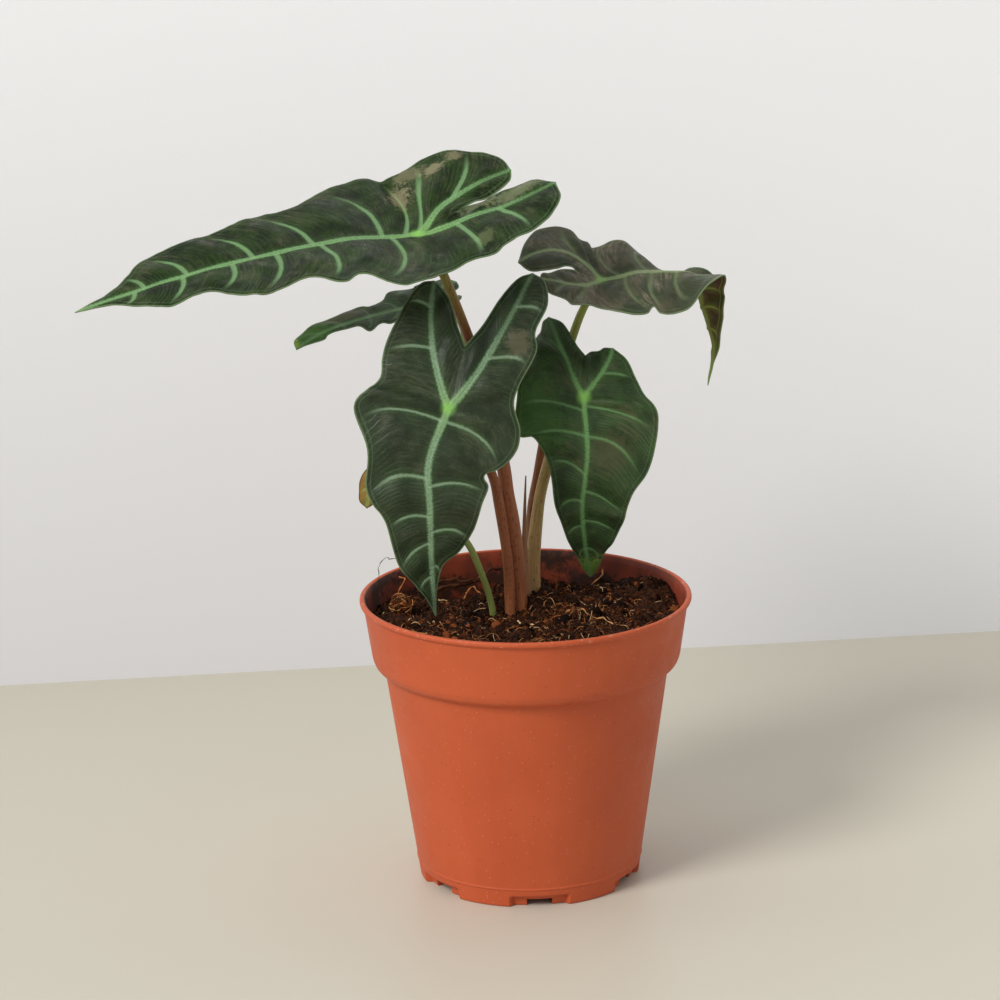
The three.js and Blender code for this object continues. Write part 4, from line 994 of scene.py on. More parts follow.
# %% Leaf drawings
LEAVES = {
    "leaf_1": {
        "midrib": [
            (8, 24, 257, 0, 72, 0, 9), (-7, 16, 250, 0, 74, 0, 9), (-22, 9, 244, 0, 76, 0, 9),
            (-36, 3, 237, 0, 78, 0, 9), (-61, -5, 237, 0, 78, 0, 9), (-87, -14, 234, 0, 76, 0, 9),
            (-116, -24, 229, 0, 74, 0, 9), (-153, -38, 220, 0, 70, 0, 9)],
        "petiole_knot": 3, "notch": -16,
        "right": {
            "roots": [100, 84, 60, 38, 13, 5, 0, -20], "petiole_vein": True,
            "edge": [(5, 110), (10, 103), (13, 99), (17, 92), (19, 80), (21, 69), (24, 58),
                     (26, 49), (27, 36), (38, 22), (42, 9), (38, -6), (33.5, -14), (35, -22),
                     (31.5, -32), (24, -40.5), (14, -45)],
            "lobe": (6, -44), "bend": (7.5, -21.5), "inner": [(0.5, -24), (0.5, -32), (1.5, -40)]},
        "left": {
            "roots": [104, 86, 68, 52, 36, 10, 0, -14, -30],
            "edge": [(-3, 113), (-7, 107), (-13, 100), (-15, 94), (-14, 82), (-19, 75), (-25, 68),
                     (-26, 61), (-23, 47), (-31, 37), (-30, 29), (-40, 17), (-38, 7), (-32, -1),
                     (-31, -6), (-33, -13), (-32, -24), (-29, -34), (-22, -46)],
            "lobe": (-12, -51), "bend": (-9, -24), "inner": [(-0.5, -26), (-1, -37), (-4, -46.5)]},
        "petiole": [
            (-2, 5.5, 86), (-2, 4.5, 97), (-3, 4.5, 116), (-4.5, 4.5, 132), (-6, 4, 142),
            (-7.5, 3.5, 154), (-12, 2, 177), (-18, 2, 198), (-26.5, 3, 221), (-31.5, 3, 232),
            (-36, 3, 237)],
        "radii": [2.9, 2.8, 2.3, 1.8, 1.5]},
    "leaf_2": {
        "midrib": [
            (-12, 4, 227, 0, -2, 0, 0), (-16, -5, 214, 0, 3, 0, 0), (-20, -13, 200, 0, 8, 0, 0),
            (-26, -21, 180, 0, 10, 0, 0), (-33, -26, 162, 0, 10, 0, 0),
            (-33, -27, 144, 0, 8, 0, 0), (-33, -22, 122, 0, 2, 0, 0), (-32, -14, 101, 0, 0, 0, 0)],
        "petiole_knot": 3, "notch": -23,
        "right": {
            "roots": [64, 50, 40, 26, 5, 0, -22, -37],
            "edge": [(3, 74), (6, 69), (9, 64), (12, 59), (14, 50), (16, 42), (20, 34), (22, 28),
                     (22, 20), (31, 12), (29, 4), (26, -4), (27, -11), (27, -18), (25, -28),
                     (23, -36), (20, -41)],
            "lobe": (16, -43), "bend": (11, -20), "inner": [(4, -29), (7, -35), (11, -40)]},
        "left": {
            "roots": [60, 46, 29, 5, 0, -22, -44],
            "edge": [(-1, 72), (-4, 60), (-10, 54), (-15, 46), (-18, 37), (-21, 31), (-20, 24),
                     (-27, 8), (-27, 1), (-22, -7), (-22, -14), (-25, -27), (-23, -34), (-25, -46),
                     (-22, -54)],
            "lobe": (-17, -56), "bend": (-9, -22), "inner": [(-4, -31), (-8, -43), (-12, -52)]},
        "petiole": [
            (-5, 1, 86), (-5.5, 0, 97), (-6, 0, 115), (-7, 0, 125), (-9, -0.5, 139),
            (-10.5, -1.5, 148), (-13.5, -3, 156), (-18, -9, 167), (-22.5, -16, 176),
            (-26, -21, 180)],
        "radii": [1.9, 1.9, 1.8, 1.7, 1.5]},
    "leaf_3": {
        "midrib": [
            (23, 32, 198, 0, -8, 0, 0), (23, 20, 189, 2, 4, 0, 0), (22, 8, 176, 4, 10, 0, 0),
            (23, 3, 157, 4, 12, 0, 0), (21, 4, 137, 0, 6, 0, 0), (22, 9, 121, -3, -4, 0, 0),
            (24, 17, 106, -4, -8, 0, 0)],
        "petiole_knot": 2, "notch": -18,
        "right": {
            "roots": [58, 48, 38, 28, 14, 5, 0, -18],
            "edge": [(2, 70), (4, 62), (6, 55), (7, 51), (8, 46), (10, 40), (12, 31), (15, 22),
                     (19, 13), (24, 12), (25, 6), (24, 0), (23, -7), (20, -17), (18, -25),
                     (16, -30), (15, -34)],
            "lobe": (13, -36), "bend": (7, -15), "inner": [(3, -22), (6, -30), (9, -34)]},
        "left": {
            "roots": [58, 46, 34, 14, 3, 0, -12],
            "edge": [(-3, 70), (-6, 63), (-10, 57), (-13, 52), (-15, 47), (-16, 43), (-18, 33),
                     (-22, 26), (-24, 20), (-26, 13), (-26, 7), (-23, 0), (-20, -7), (-18, -12),
                     (-15, -17)],
            "lobe": (-10, -21), "bend": (-6, -10), "inner": [(-2, -19), (-5, -20), (-7, -21)]},
        "petiole": [
            (2.5, 19, 86), (3, 20, 98), (3, 20, 110), (3.5, 20, 118), (4.5, 20, 127),
            (6, 20, 137), (9, 19, 149), (12.5, 17, 160), (18, 13, 171), (22, 8, 176)],
        "radii": [2.9, 2.6, 2.2, 1.9, 1.5]},
    "leaf_4": {
        "midrib": [
            (0, 22, 221, 0, 62, 0, 0), (14, 26, 220, 0, 64, 0, 0), (29, 30, 214, 0, 66, 0, 4),
            (42, 32, 216, 0, 64, -2, 4), (53, 34, 216, 4, 60, -44, 4),
            (62, 36, 215, 25, 56, -88, 36), (64.5, 38, 211.5, 60, 48, 18, 84),
            (65.5, 39, 204.5, 138, 4, 80, 14), (68, 39, 196, 142, 0, 100, 0),
            (70, 38, 188, 142, -4, 100, 0), (69.5, 37, 181.5, 142, -4, 60, 0),
            (68, 36, 173, 142, -4, 0, 0)],
        "petiole_knot": 2, "notch": -9,
        "right": {
            "roots": [66, 57, 49, 42, 35, 28, 19, 9, 0, -8, -18],
            "edge": [(0.5, 73.5), (1, 70), (2.5, 65), (4.5, 60), (7, 55), (9, 51), (10, 46.5),
                     (9.5, 42.5), (10.5, 39.5), (12.5, 36.5), (20, 33.5), (24, 29), (24, 24),
                     (24, 17.5), (21.5, 15.5), (24.5, 11.5), (25, 6.5), (18.5, -1), (18.5, -6),
                     (20, -13), (19.5, -17.5), (15.5, -24), (11, -26)],
            "lobe": (7, -26), "bend": (9, -12), "inner": [(-1, -12.5), (2.5, -19), (4, -24)]},
        "left": {
            "roots": [66, 57, 49, 42, 35, 27, 18, 8, 0, -12],
            "edge": [(-1, 73), (-1.5, 69), (-2.5, 65), (-4, 60), (-6, 55), (-8.5, 51),
                     (-10.5, 46.5), (-12, 43), (-8, 38.5), (-6.5, 35.5), (-13, 31.5),
                     (-17.5, 27), (-19.5, 21), (-21, 16.5), (-21, 11.5), (-22, 1), (-23, -2),
                     (-24, -6), (-26, -11), (-24.5, -18), (-14, -26)],
            "lobe": (-3, -31.5), "bend": (-10, -12), "inner": [(-3, -12), (1, -18.5), (2.5, -27)]},
        "petiole": [
            (3, 25, 86), (3, 26, 99), (2.5, 26, 110), (2.5, 26, 122), (3, 26, 131),
            (5, 26, 142), (7, 27, 153), (11, 31, 171), (17.5, 35, 189), (22.5, 36, 202),
            (29, 30, 214)],
        "radii": [1.9, 1.8, 1.7, 1.6, 1.4]},
    "leaf_5": {
        "midrib": [
            (-22, 47, 207.5, 0, 76, 0, 8), (-27.5, 41, 206.5, 0, 76, 0, 8),
            (-33, 36, 205.5, 0, 76, 0, 8), (-44, 33.5, 203.5, 0, 76, 0, 8),
            (-56.5, 31, 201, 0, 74, 0, 8), (-69.5, 29, 197.5, -3, 66, 0, 6),
            (-77.5, 26, 194, -6, 52, 0, 4), (-81.5, 24, 191.5, -10, 40, 0, 0)],
        "petiole_knot": 2, "notch": -6,
        "right": {
            "roots": [42, 33, 23, 12, 0, -9],
            "edge": [(3, 51), (4.5, 47), (5.5, 43), (6, 38), (7, 31), (8.5, 24.5), (6.5, 21),
                     (9, 16), (12.5, 12.5), (12.5, 4), (12.5, -6), (11, -14), (9, -18.5)],
            "lobe": (5.5, -19.5), "bend": (5, -10), "inner": [(1, -9), (1.5, -13), (2.5, -17.5)]},
        "left": {
            "roots": [42, 33, 23, 12, 0, -9],
            "edge": [(-1, 49), (-3, 42), (-2, 39), (-2.5, 32), (-4, 27.5), (-8.5, 24.5),
                     (-6, 19.5), (-7.5, 16.5), (-6, 9), (-6.5, 1), (-6, -3), (-5.5, -7),
                     (-5, -10.5)],
            "lobe": (-3.5, -12.5), "bend": (-3, -6), "inner": [(-1, -8), (-1, -10), (-2, -12)]},
        "petiole": [
            (-4.5, 13, 86), (-4.5, 13, 103), (-5, 13.5, 122), (-6.5, 14.5, 140.5), (-9.5, 15, 156),
            (-13, 16, 169.5), (-16, 18, 180.5), (-19.5, 21, 191), (-21.5, 25, 199),
            (-24.5, 29, 203.5), (-28.5, 33, 205), (-33, 36, 205.5)],
        "radii": [1.4, 1.3, 1.2, 1.1, 1]},
    "leaf_6": {
        "midrib": [
            (-33, -6, 160, 0, 40, 0, 0), (-37, -8, 158, 0, 48, 0, 0), (-42, -10, 155, 0, 50, 0, 0),
            (-48, -11, 153, 0, 40, 0, 0), (-54, -11, 149, -10, 20, 0, 0),
            (-56, -10, 141, -10, 0, 0, 0)],
        "petiole_knot": 2, "notch": -4,
        "right": {
            "roots": [15, 8, 0],
            "edge": [(3, 20), (4, 16), (6, 12), (7, 8), (8, 4), (8, 0), (6, -4)],
            "lobe": (4, -7), "bend": (3, -3), "inner": [(1, -5), (1, -6), (2, -7)]},
        "left": {
            "roots": [15, 8, 0],
            "edge": [(-2, 20), (-4, 16), (-6, 12), (-7, 8), (-8, 4), (-8, 0), (-6, -4)],
            "lobe": (-4, -7), "bend": (-3, -3), "inner": [(-1, -5), (-1, -6), (-2, -7)]},
        "petiole": [
            (-10, 1, 86), (-11.5, -1, 96), (-12.5, -2, 103), (-14.5, -4, 111), (-17.5, -6, 120),
            (-20.5, -8, 127), (-27, -10, 136), (-33.5, -11, 146), (-42, -10, 155)],
        "radii": [1.3, 1.2, 1.2, 1.1, 1]},
}
print("leaves:", len(LEAVES))

# %% The bent midrib
KNOT_STEPS = 40


def look_direction(azimuth_deg, elevation_deg):
    turn, rise = math.radians(azimuth_deg), math.radians(elevation_deg)
    return (math.sin(turn) * math.cos(rise), -math.cos(turn) * math.cos(rise), math.sin(rise))


class BentMidrib:
    """Places points of the flat drawing in space."""

    def __init__(self, knots, petiole_knot):
        t = np.arange((len(knots) - 1) * KNOT_STEPS + 1) / KNOT_STEPS
        rows = through(knots, t)
        self.places = rows[:, :3]
        self.folds = np.radians(rows[:, 5:7])
        faces = through([look_direction(k[3], k[4]) for k in knots], t)
        run = runs_along(self.places)
        self.ys = run - run[petiole_knot * KNOT_STEPS]
        self.length = self.ys[-1]
        self.along = unit(np.gradient(self.places, axis=0))
        self.across = unit(np.cross(self.along, faces))
        self.up = np.cross(self.across, self.along)

    def pick(self, rows, y):
        return read_off(rows, self.ys, y)

    def place(self, x, y, rise):
        inside = np.clip(y, self.ys[0], self.ys[-1])
        spot = self.pick(self.places, inside) + self.pick(self.along, inside) * (y - inside)[:, None]
        left, right = self.pick(self.folds, inside).T
        fold = np.where(x > 0, right, left)
        across, up = unit(self.pick(self.across, inside)), unit(self.pick(self.up, inside))
        spot += across * (np.cos(fold) * x)[:, None]
        return spot + up * (np.sin(fold) * np.abs(x) + rise)[:, None]


# %% [markdown]
# ## From a drawing to a sheet
#
# Between two side veins the blade bulges up like a quilt, and its edge is waved. A grid whose
# lines run along the side veins follows that form best: one direction counts the veins, the
# other goes from the rib out to the edge. The same two numbers later tell the material where
# a vein lies, so a vein stays sharp however coarse the mesh is.

# %% Flat grids of half a blade
PER_VEIN = 14
ROWS_OUT = 34
PANEL_BULGE = 1.5
EDGE_RUFFLE = 0.9
EDGE_DROOP = 0.9
VEIN_CURVE = 0.2        # how far a side vein turns to the tip at the edge, in vein spacings
VEIN_SAG = 0.1          # how far a side vein sags to the petiole halfway out, by its length
FULL_PANEL = 18.0       # panels narrower than this bulge less
CROWDING = 0.6          # how much closer the rows lie at the rib and at the edge


def lobe_rib(half):
    """The lobe's own rib as points and their runs from the petiole."""
    lobe, bend = np.array(half["lobe"], float), np.array(half["bend"], float)
    u = np.linspace(0, 1, 61)[:, None]
    spots = 2 * u * (1 - u) * (2 * bend - 0.5 * lobe) + u**2 * lobe
    return spots, runs_along(spots)


def vein_number(roots, root):
    """Which side vein a root place belongs to; a fraction lies between two veins."""
    return np.interp(-np.asarray(root), -np.asarray(roots), np.arange(len(roots)))


def root_places(roots, low, high):
    """Root places between two limits, evenly spread between each two veins."""
    count = np.arange((len(roots) - 1) * PER_VEIN + 1) / PER_VEIN
    places = np.interp(count, np.arange(len(roots)), roots)
    return places[(places >= low) & (places <= high)]


def merge_close(values, gap):
    kept = []
    for value in sorted(values, reverse=True):
        if not kept or kept[-1] - value > gap:
            kept.append(value)
    return np.array(kept)


def rows_out():
    u = np.linspace(0, 1, ROWS_OUT)
    return u - CROWDING * np.sin(2 * np.pi * u) / (2 * np.pi)


def blade_grid(start, end, number, shown, sag):
    """One grid: flat places, rise, vein number and share of the way out.

    `number` counts all the drawing's lines, and `shown` counts those that are side veins."""
    out = rows_out()[None]
    width = np.linalg.norm(end - start, axis=1)[:, None]
    flat = start[:, None] + (end - start)[:, None] * out[..., None]
    flat[..., 1] -= sag[:, None] * width * np.sin(np.pi * out)
    panel = np.sin(np.pi * number)[:, None] ** 2
    bulge = PANEL_BULGE * np.sin(np.pi * out) + EDGE_RUFFLE * out**3
    rise = np.minimum(1, width / FULL_PANEL) * (panel * bulge - EDGE_DROOP * out**2)
    sweep = np.gradient(flat, axis=0) / np.maximum(np.gradient(shown), 1e-6)[:, None, None]
    heading = unit(np.gradient(flat, axis=1))
    spacing = np.abs(sweep[..., 0] * heading[..., 1] - sweep[..., 1] * heading[..., 0])
    return {"flat": flat, "rise": rise, "number": shown[:, None] + VEIN_CURVE * out**3,
            "out": out + 0 * width, "spacing": spacing}


def vein_sag(root):
    """The sag of a side vein; those of the back lobes are straight."""
    return VEIN_SAG * np.clip((root + 5) / 15, 0, 1)


def half_grids(half, length, notch, shared):
    """The three grids of a half: along the midrib, outside the lobe's rib, and inside it."""
    spots, runs = lobe_rib(half)
    roots = np.array([length, *half["roots"], -runs[-1]])
    edge = [(0, length), *half["edge"], half["lobe"]]
    inner = [(0, notch), *half["inner"], half["lobe"]]
    veins = roots if half.get("petiole_vein") else roots[roots != 0]
    number = vein_number(roots, shared)
    start = np.stack([0 * shared, shared], -1)
    shown, sag = vein_number(veins, shared), vein_sag(shared)
    grids = [blade_grid(start, through(edge, number * 2), number, shown, sag)]
    back = merge_close([*root_places(roots, -runs[-1], 0), 0.0, -runs[-1]], 0.05)
    start = read_off(spots, runs, -back)
    number = vein_number(roots, back)
    shown, sag = vein_number(veins, back), vein_sag(back)
    grids.append(blade_grid(start, through(edge, number * 2), number, shown, sag))
    share = -back / runs[-1]
    grids.append(blade_grid(start, through(inner, share * (len(inner) - 1)), number, shown, 0 * sag))
    grids[2]["spacing"] *= -1
    return grids


# %% Join the halves
def distance_to(points, line, chunk=2000):
    """Distance from each point to the nearest point of a line, and that point's index."""
    far, index = [], []
    for first in range(0, len(points), chunk):
        gap = np.linalg.norm(points[first:first + chunk, None] - line[None], axis=-1)
        far.append(gap.min(1))
        index.append(gap.argmin(1))
    return np.concatenate(far), np.concatenate(index)


def dense(line):
    """The same line with three points to a millimetre."""
    runs = runs_along(line)
    return read_off(np.asarray(line, float), runs, np.linspace(0, runs[-1], int(runs[-1] * 3) + 2))


class Sheet:
    """A blade's middle surface: merged points, faces, and what each face corner says."""

    def __init__(self):
        self.index, self.flat, self.rise = {}, [], []
        self.faces, self.corners = [], []

    def point(self, flat, rise):
        key = (round(flat[0], 3), round(flat[1], 3))
        if key not in self.index:
            self.index[key] = len(self.flat)
            self.flat.append(flat)
            self.rise.append(rise)
        return self.index[key]

    def add(self, grid, flip):
        rows, columns = grid["rise"].shape
        flat, rise = grid["flat"].tolist(), grid["rise"].tolist()
        names = [[self.point(flat[i][j], rise[i][j]) for j in range(columns)] for i in range(rows)]
        facts = np.stack([grid["number"], grid["out"], grid["spacing"]], -1).tolist()
        for i in range(rows - 1):
            for j in range(columns - 1):
                spots = [(i, j), (i + 1, j), (i + 1, j + 1), (i, j + 1)]
                if flip:
                    spots.reverse()
                face, facts_here = [], []
                for a, b in spots:
                    if names[a][b] not in face:
                        face.append(names[a][b])
                        facts_here.append(facts[a][b])
                if len(face) > 2:
                    self.faces.append(face)
                    self.corners.append(facts_here)


CLOSE_ROWS = 0.12       # rows of the grid that are nearer than this are merged


def blade_sheet(leaf, midrib):
    shared = []
    for side in ("right", "left"):
        roots = np.array([midrib.length, *leaf[side]["roots"], -lobe_rib(leaf[side])[1][-1]])
        shared += list(root_places(roots, 0, midrib.length))
    shared = merge_close([*shared, 0.0], CLOSE_ROWS)
    shared[-1] = 0.0
    sheet, outline, ribs = Sheet(), [], [np.stack([0 * shared, shared], -1)]
    for side, flip in (("right", False), ("left", True)):
        grids = half_grids(leaf[side], midrib.length, leaf["notch"], shared)
        sheet.add(grids[0], flip)
        sheet.add(grids[1], flip)
        sheet.add(grids[2], not flip)
        outline += [grid["flat"][:, -1] for grid in grids]
        ribs.append(lobe_rib(leaf[side])[0])
    return sheet, outline, ribs


# %% [markdown]
# ## Thickening the sheet
#
# A real blade is about a third of a millimetre thick, thinner at its margin, and its ribs
# stand out underneath like the ribs of an umbrella. Each point of the sheet is pushed both
# ways along its own normal, further under a rib, and a narrow strip closes the margin.

# %% Solid blades
HALF_THICK = 0.28
HALF_THICK_AT_EDGE = 0.16
MAIN_RIB_UNDER = 0.95
MAIN_RIB_OVER = 0.3
MAIN_RIB_HALF = 1.5
LEAST_RIB_HALF = 0.3
SIDE_VEIN_UNDER = 0.35
SIDE_VEIN_OVER = -0.12
SIDE_VEIN_HALF = 0.6
THIN_MARGIN = 1.2       # the blade gets thinner within this distance of its edge
WARP = 0.45             # the height and the grain of the blade's slow waves
WARP_GRAIN = 9.0
WARP_FROM_RIB = 4.0     # nearer to a rib the waves are lower
FAR_OFF = 9.0
MARGIN_FACTS = (0.5, 1.0, FAR_OFF)      # half way between two veins, all the way out
RIB_END = 0.12          # a rib's size at its end, as a share of its size at the petiole


def rib_size(share):
    return 1 + (RIB_END - 1) * np.clip(share, 0, 1)


def sheet_normals(places, faces):
    total = np.zeros_like(places)
    for face in faces:
        a, b, c = places[face[0]], places[face[1]], places[face[2]]
        if len(face) == 4:
            normal = np.cross(c - a, places[face[3]] - b)
        else:
            normal = np.cross(b - a, c - a)
        for k in face:
            total[k] += normal
    return unit(total)


def vein_relief(sheet):
    """0 to 1 for each point: how much of a side vein it lies on."""
    relief = np.zeros(len(sheet.flat))
    for face, facts in zip(sheet.faces, sheet.corners):
        for k, (number, out, spacing) in zip(face, facts):
            gap = abs(number - round(number)) * spacing if spacing > 0 else FAR_OFF
            relief[k] = max(relief[k], math.exp(-(gap / SIDE_VEIN_HALF) ** 2) * (1 - out) ** 0.7)
    return relief


def border(faces):
    """Edges of the sheet that belong to one face only, in that face's order."""
    seen = {(a, b) for face in faces for a, b in zip(face, face[1:] + face[:1])}
    return [(a, b) for a, b in seen if (b, a) not in seen]


def build_blade(name, leaf):
    midrib = BentMidrib(leaf["midrib"], leaf["petiole_knot"])
    sheet, outline, ribs = blade_sheet(leaf, midrib)
    flat = np.array(sheet.flat)
    edge_gap, _ = distance_to(flat, np.vstack([dense(line) for line in outline]))
    rib_gap, size = np.full(len(flat), 1e9), np.zeros(len(flat))
    for line in ribs:
        line = dense(line)
        line = line if np.linalg.norm(line[0]) < np.linalg.norm(line[-1]) else line[::-1]
        gap, index = distance_to(flat, line)
        nearer = gap < rib_gap
        size = np.where(nearer, rib_size(index / len(line)), size)
        rib_gap = np.minimum(gap, rib_gap)
    wave = rough_field([(x, y, 0) for x, y in flat], WARP_GRAIN, len(name) + ord(name[-1]), 3)
    rise = np.array(sheet.rise) + WARP * wave * soft_step(0, WARP_FROM_RIB, rib_gap)
    places = midrib.place(flat[:, 0], flat[:, 1], rise)
    normals = sheet_normals(places, sheet.faces)
    vein = vein_relief(sheet)
    main = size * np.exp(-(rib_gap / (MAIN_RIB_HALF * size + LEAST_RIB_HALF)) ** 2)
    inward = soft_step(0, THIN_MARGIN, edge_gap)
    half = HALF_THICK_AT_EDGE + (HALF_THICK - HALF_THICK_AT_EDGE) * inward
    over = half + MAIN_RIB_OVER * main + SIDE_VEIN_OVER * vein * (1 - main)
    under = half + MAIN_RIB_UNDER * main + SIDE_VEIN_UNDER * vein
    count = len(places)
    points = np.vstack([places + normals * over[:, None], places - normals * under[:, None]])
    faces = [list(face) for face in sheet.faces]
    faces += [[count + k for k in reversed(face)] for face in sheet.faces]
    strip = [[b, a, count + a, count + b] for a, b in border(sheet.faces)]
    piece = make_piece(name, points, faces + strip)
    facts = [fact for row in sheet.corners for fact in row]
    facts += [fact for row in sheet.corners for fact in reversed(row)]
    facts += [MARGIN_FACTS] * (4 * len(strip))
    store(piece, "vein_map", facts, domain="CORNER")
    rib_map = np.stack([rib_gap, size, edge_gap], -1)
    flat_map = np.stack([flat[:, 0], flat[:, 1], 0 * edge_gap], -1)
    for layer, rows in (("rib_map", rib_map), ("flat_map", flat_map)):
        store(piece, layer, np.vstack([rows, rows]))
    sides = [0] * len(sheet.faces) + [1] * len(sheet.faces) + [0] * len(strip)
    piece.data.polygons.foreach_set("material_index", sides)
    return piece


# %% [markdown]
# ## Leaf finishes
#
# The upper face is a very dark green with a dull satin shine. Pale mint ribs with feathered
# edges run through it, a thin line follows the margin, and fine side lines fill the panels.
# Paler patches are partly wear and partly a painted sheen, and the colour is darker where the
# fine bump is low, a painted shade.
# The material reads the maps that were stored with the mesh: the distance from a rib or the
# edge, and the vein number. The under face is paler and redder, with raised green veins.

# %% Upper face
FINE_LINES = 11.0       # fine side lines from one side vein to the next


def vein_masks(coat, main_width, side_width, side_soft, feather):
    """Masks of the ribs, side veins, halo, margin and fine lines of a blade.

    A vein map with a negative spacing marks the inside of a lobe, which has no side veins."""
    number, out, signed_spacing = split(coat.stored("vein_map"))
    rib_gap, rib_share, edge_gap = split(coat.stored("rib_map"))
    flat = coat.stored("flat_map")
    ragged = (cloud(flat, 1.1, 4.0, 0.7) - 0.5) * feather
    spacing = abs(signed_spacing)
    from_side = maths("PINGPONG", number, 0.5) * spacing + ragged
    from_rib = rib_gap + ragged * 1.3
    main_half = maths("MULTIPLY_ADD", rib_share, main_width, 0.05)
    side_half = remap(out, 0.0, 1.0, side_width, 0.3 * side_width, "LINEAR")
    fade = remap(out, 0.55, 0.97, 1.0, 0.0) * maths("GREATER_THAN", signed_spacing, 0.0)
    glow = maths("MAXIMUM", thin_line(from_rib, main_half, 3.0), thin_line(from_side, 0.1, 2.6) * fade)
    count = (number + cloud(flat, 0.2, 2.0) * 0.12) * FINE_LINES
    fine_gap = maths("PINGPONG", count, 0.5) * (spacing / FINE_LINES)
    broken = remap(cloud(flat, 0.1, 4.0, 0.6), 0.38, 0.62)
    along = add_node(coat.tree, "ShaderNodeCombineXYZ", {0: number * 9.0, 1: out * 2.2})
    from_core = vector_maths("LENGTH", flat)
    return SimpleNamespace(
        flat=flat, glow=glow,
        main=thin_line(from_rib, main_half, 1.2),
        rim=thin_line(abs(from_rib - main_half), 0.1, 0.75),
        side=thin_line(from_side, side_half, side_soft) * fade,
        hem=thin_line(abs(edge_gap - 1.7), 0.04, 0.3),
        margin=thin_line(edge_gap, 0.2, 0.5),
        fine=thin_line(fine_gap, 0.02, 0.4) * broken,
        brush=cloud(Wire(along.outputs[0]), 1.0, 5.0, 0.7),
        core=thin_line(from_core, 0.5, 3.2),
        near=thin_line(from_core, 1.0, 15.0))


def paint_marks(coat, flat, marks):
    """Patches of another tone, each at a place of the flat drawing: stains, wear, paler tips, darker patches,
    a painted sheen and painted light that shines through a blade.
    """
    grain = (cloud(flat, 0.45, 6.0, 0.8) - 0.5) * 3.0
    for x, y, reach_x, reach_y, tone, strength in marks:
        off = vector_maths("SUBTRACT", flat, (x, y, 0))
        far = vector_maths("LENGTH", vector_maths("DIVIDE", off, (reach_x, reach_y, 1)))
        coat.tint(remap(far + grain, 0.5, 1.15, strength, 0.0), tone)


def upper_finish(name, look):
    coat = Finish(name, Specular_IOR_Level=look.shine)
    masks = vein_masks(coat, look.rib, look.side_wide, look.side_soft, 1.1)
    flat = masks.flat
    coat.base(mottle(flat, 0.09, 0.16), look.deep, look.fresh)
    # Painted sheen, partly real wear: paler patches where the brush pattern is high.
    worn = remap(cloud(flat, 0.06, 5.0, 0.65), 0.45, 0.62) * remap(masks.brush, 0.4, 0.62)
    coat.tint(worn, look.silver, look.worn)
    # Painted shade: the colour darkens where the brush pattern, and with it the bump, is low.
    coat.tint(remap(masks.brush, 0.3, 0.52, 0.45, 0.0), look.deep)
    coat.tint(masks.fine, (88, 112, 76), look.fine)
    coat.tint(remap(cloud(flat, 3.0, 4.0, 0.75), 0.42, 0.7), (112, 124, 96), look.dust)
    coat.tint(masks.glow, (70, 112, 58), 0.22)
    coat.tint(specks(flat, 1.1, 0.06, 0.2), (120, 140, 104), 0.3)
    paint_marks(coat, flat, look.marks)
    coat.tint(masks.hem, (104, 136, 94), 0.22)
    coat.tint(masks.side, look.pale, look.side)
    rib_colour = blend(remap(cloud(flat, 1.6, 3.0, 0.6), 0.4, 0.62), look.rib_green, look.pale)
    rib_colour = blend(masks.near * 0.5, rib_colour, (132, 182, 88))
    faint = remap(split(flat)[1], -50.0, -10.0, 0.4, 1.0)
    coat.tint(masks.main * faint, rib_colour, look.main)
    coat.tint(masks.rim * faint, look.pale, 0.4)
    coat.tint(masks.core, (140, 200, 92), look.core)
    coat.tint(masks.margin, look.margin, 0.6)
    coat.rough(cloud(flat, 0.25, 4.0), 0.35, 0.65, look.gloss - 0.08, look.gloss + 0.12)
    coat.bump(masks.fine * -0.4 - masks.side * 0.6 + masks.main * 0.6 + masks.brush * 1.4, 0.45, 0.4)
    return coat.done()


# %% Under face
def under_finish(name, flesh, blush, rib_tone):
    coat = Finish(name, Specular_IOR_Level=0.35)
    masks = vein_masks(coat, 0.8, 0.3, 0.5, 0.5)
    coat.base(mottle(masks.flat, 0.12, 0.2), flesh, blush)
    for mask, strength in ((masks.fine, 0.35), (masks.glow, 0.25), (masks.hem, 0.6),
                           (masks.side, 1), (masks.main, 1)):
        coat.tint(mask, rib_tone, strength)
    coat.tint(masks.margin, (120, 150, 70), 0.7)
    coat.rough(cloud(masks.flat, 0.6, 3.0), 0.3, 0.7, 0.45, 0.62)
    coat.bump(masks.side + masks.fine * 0.5 + cloud(masks.flat, 1.3, 4.0, 0.6), 0.5, 0.3)
    return coat.done()


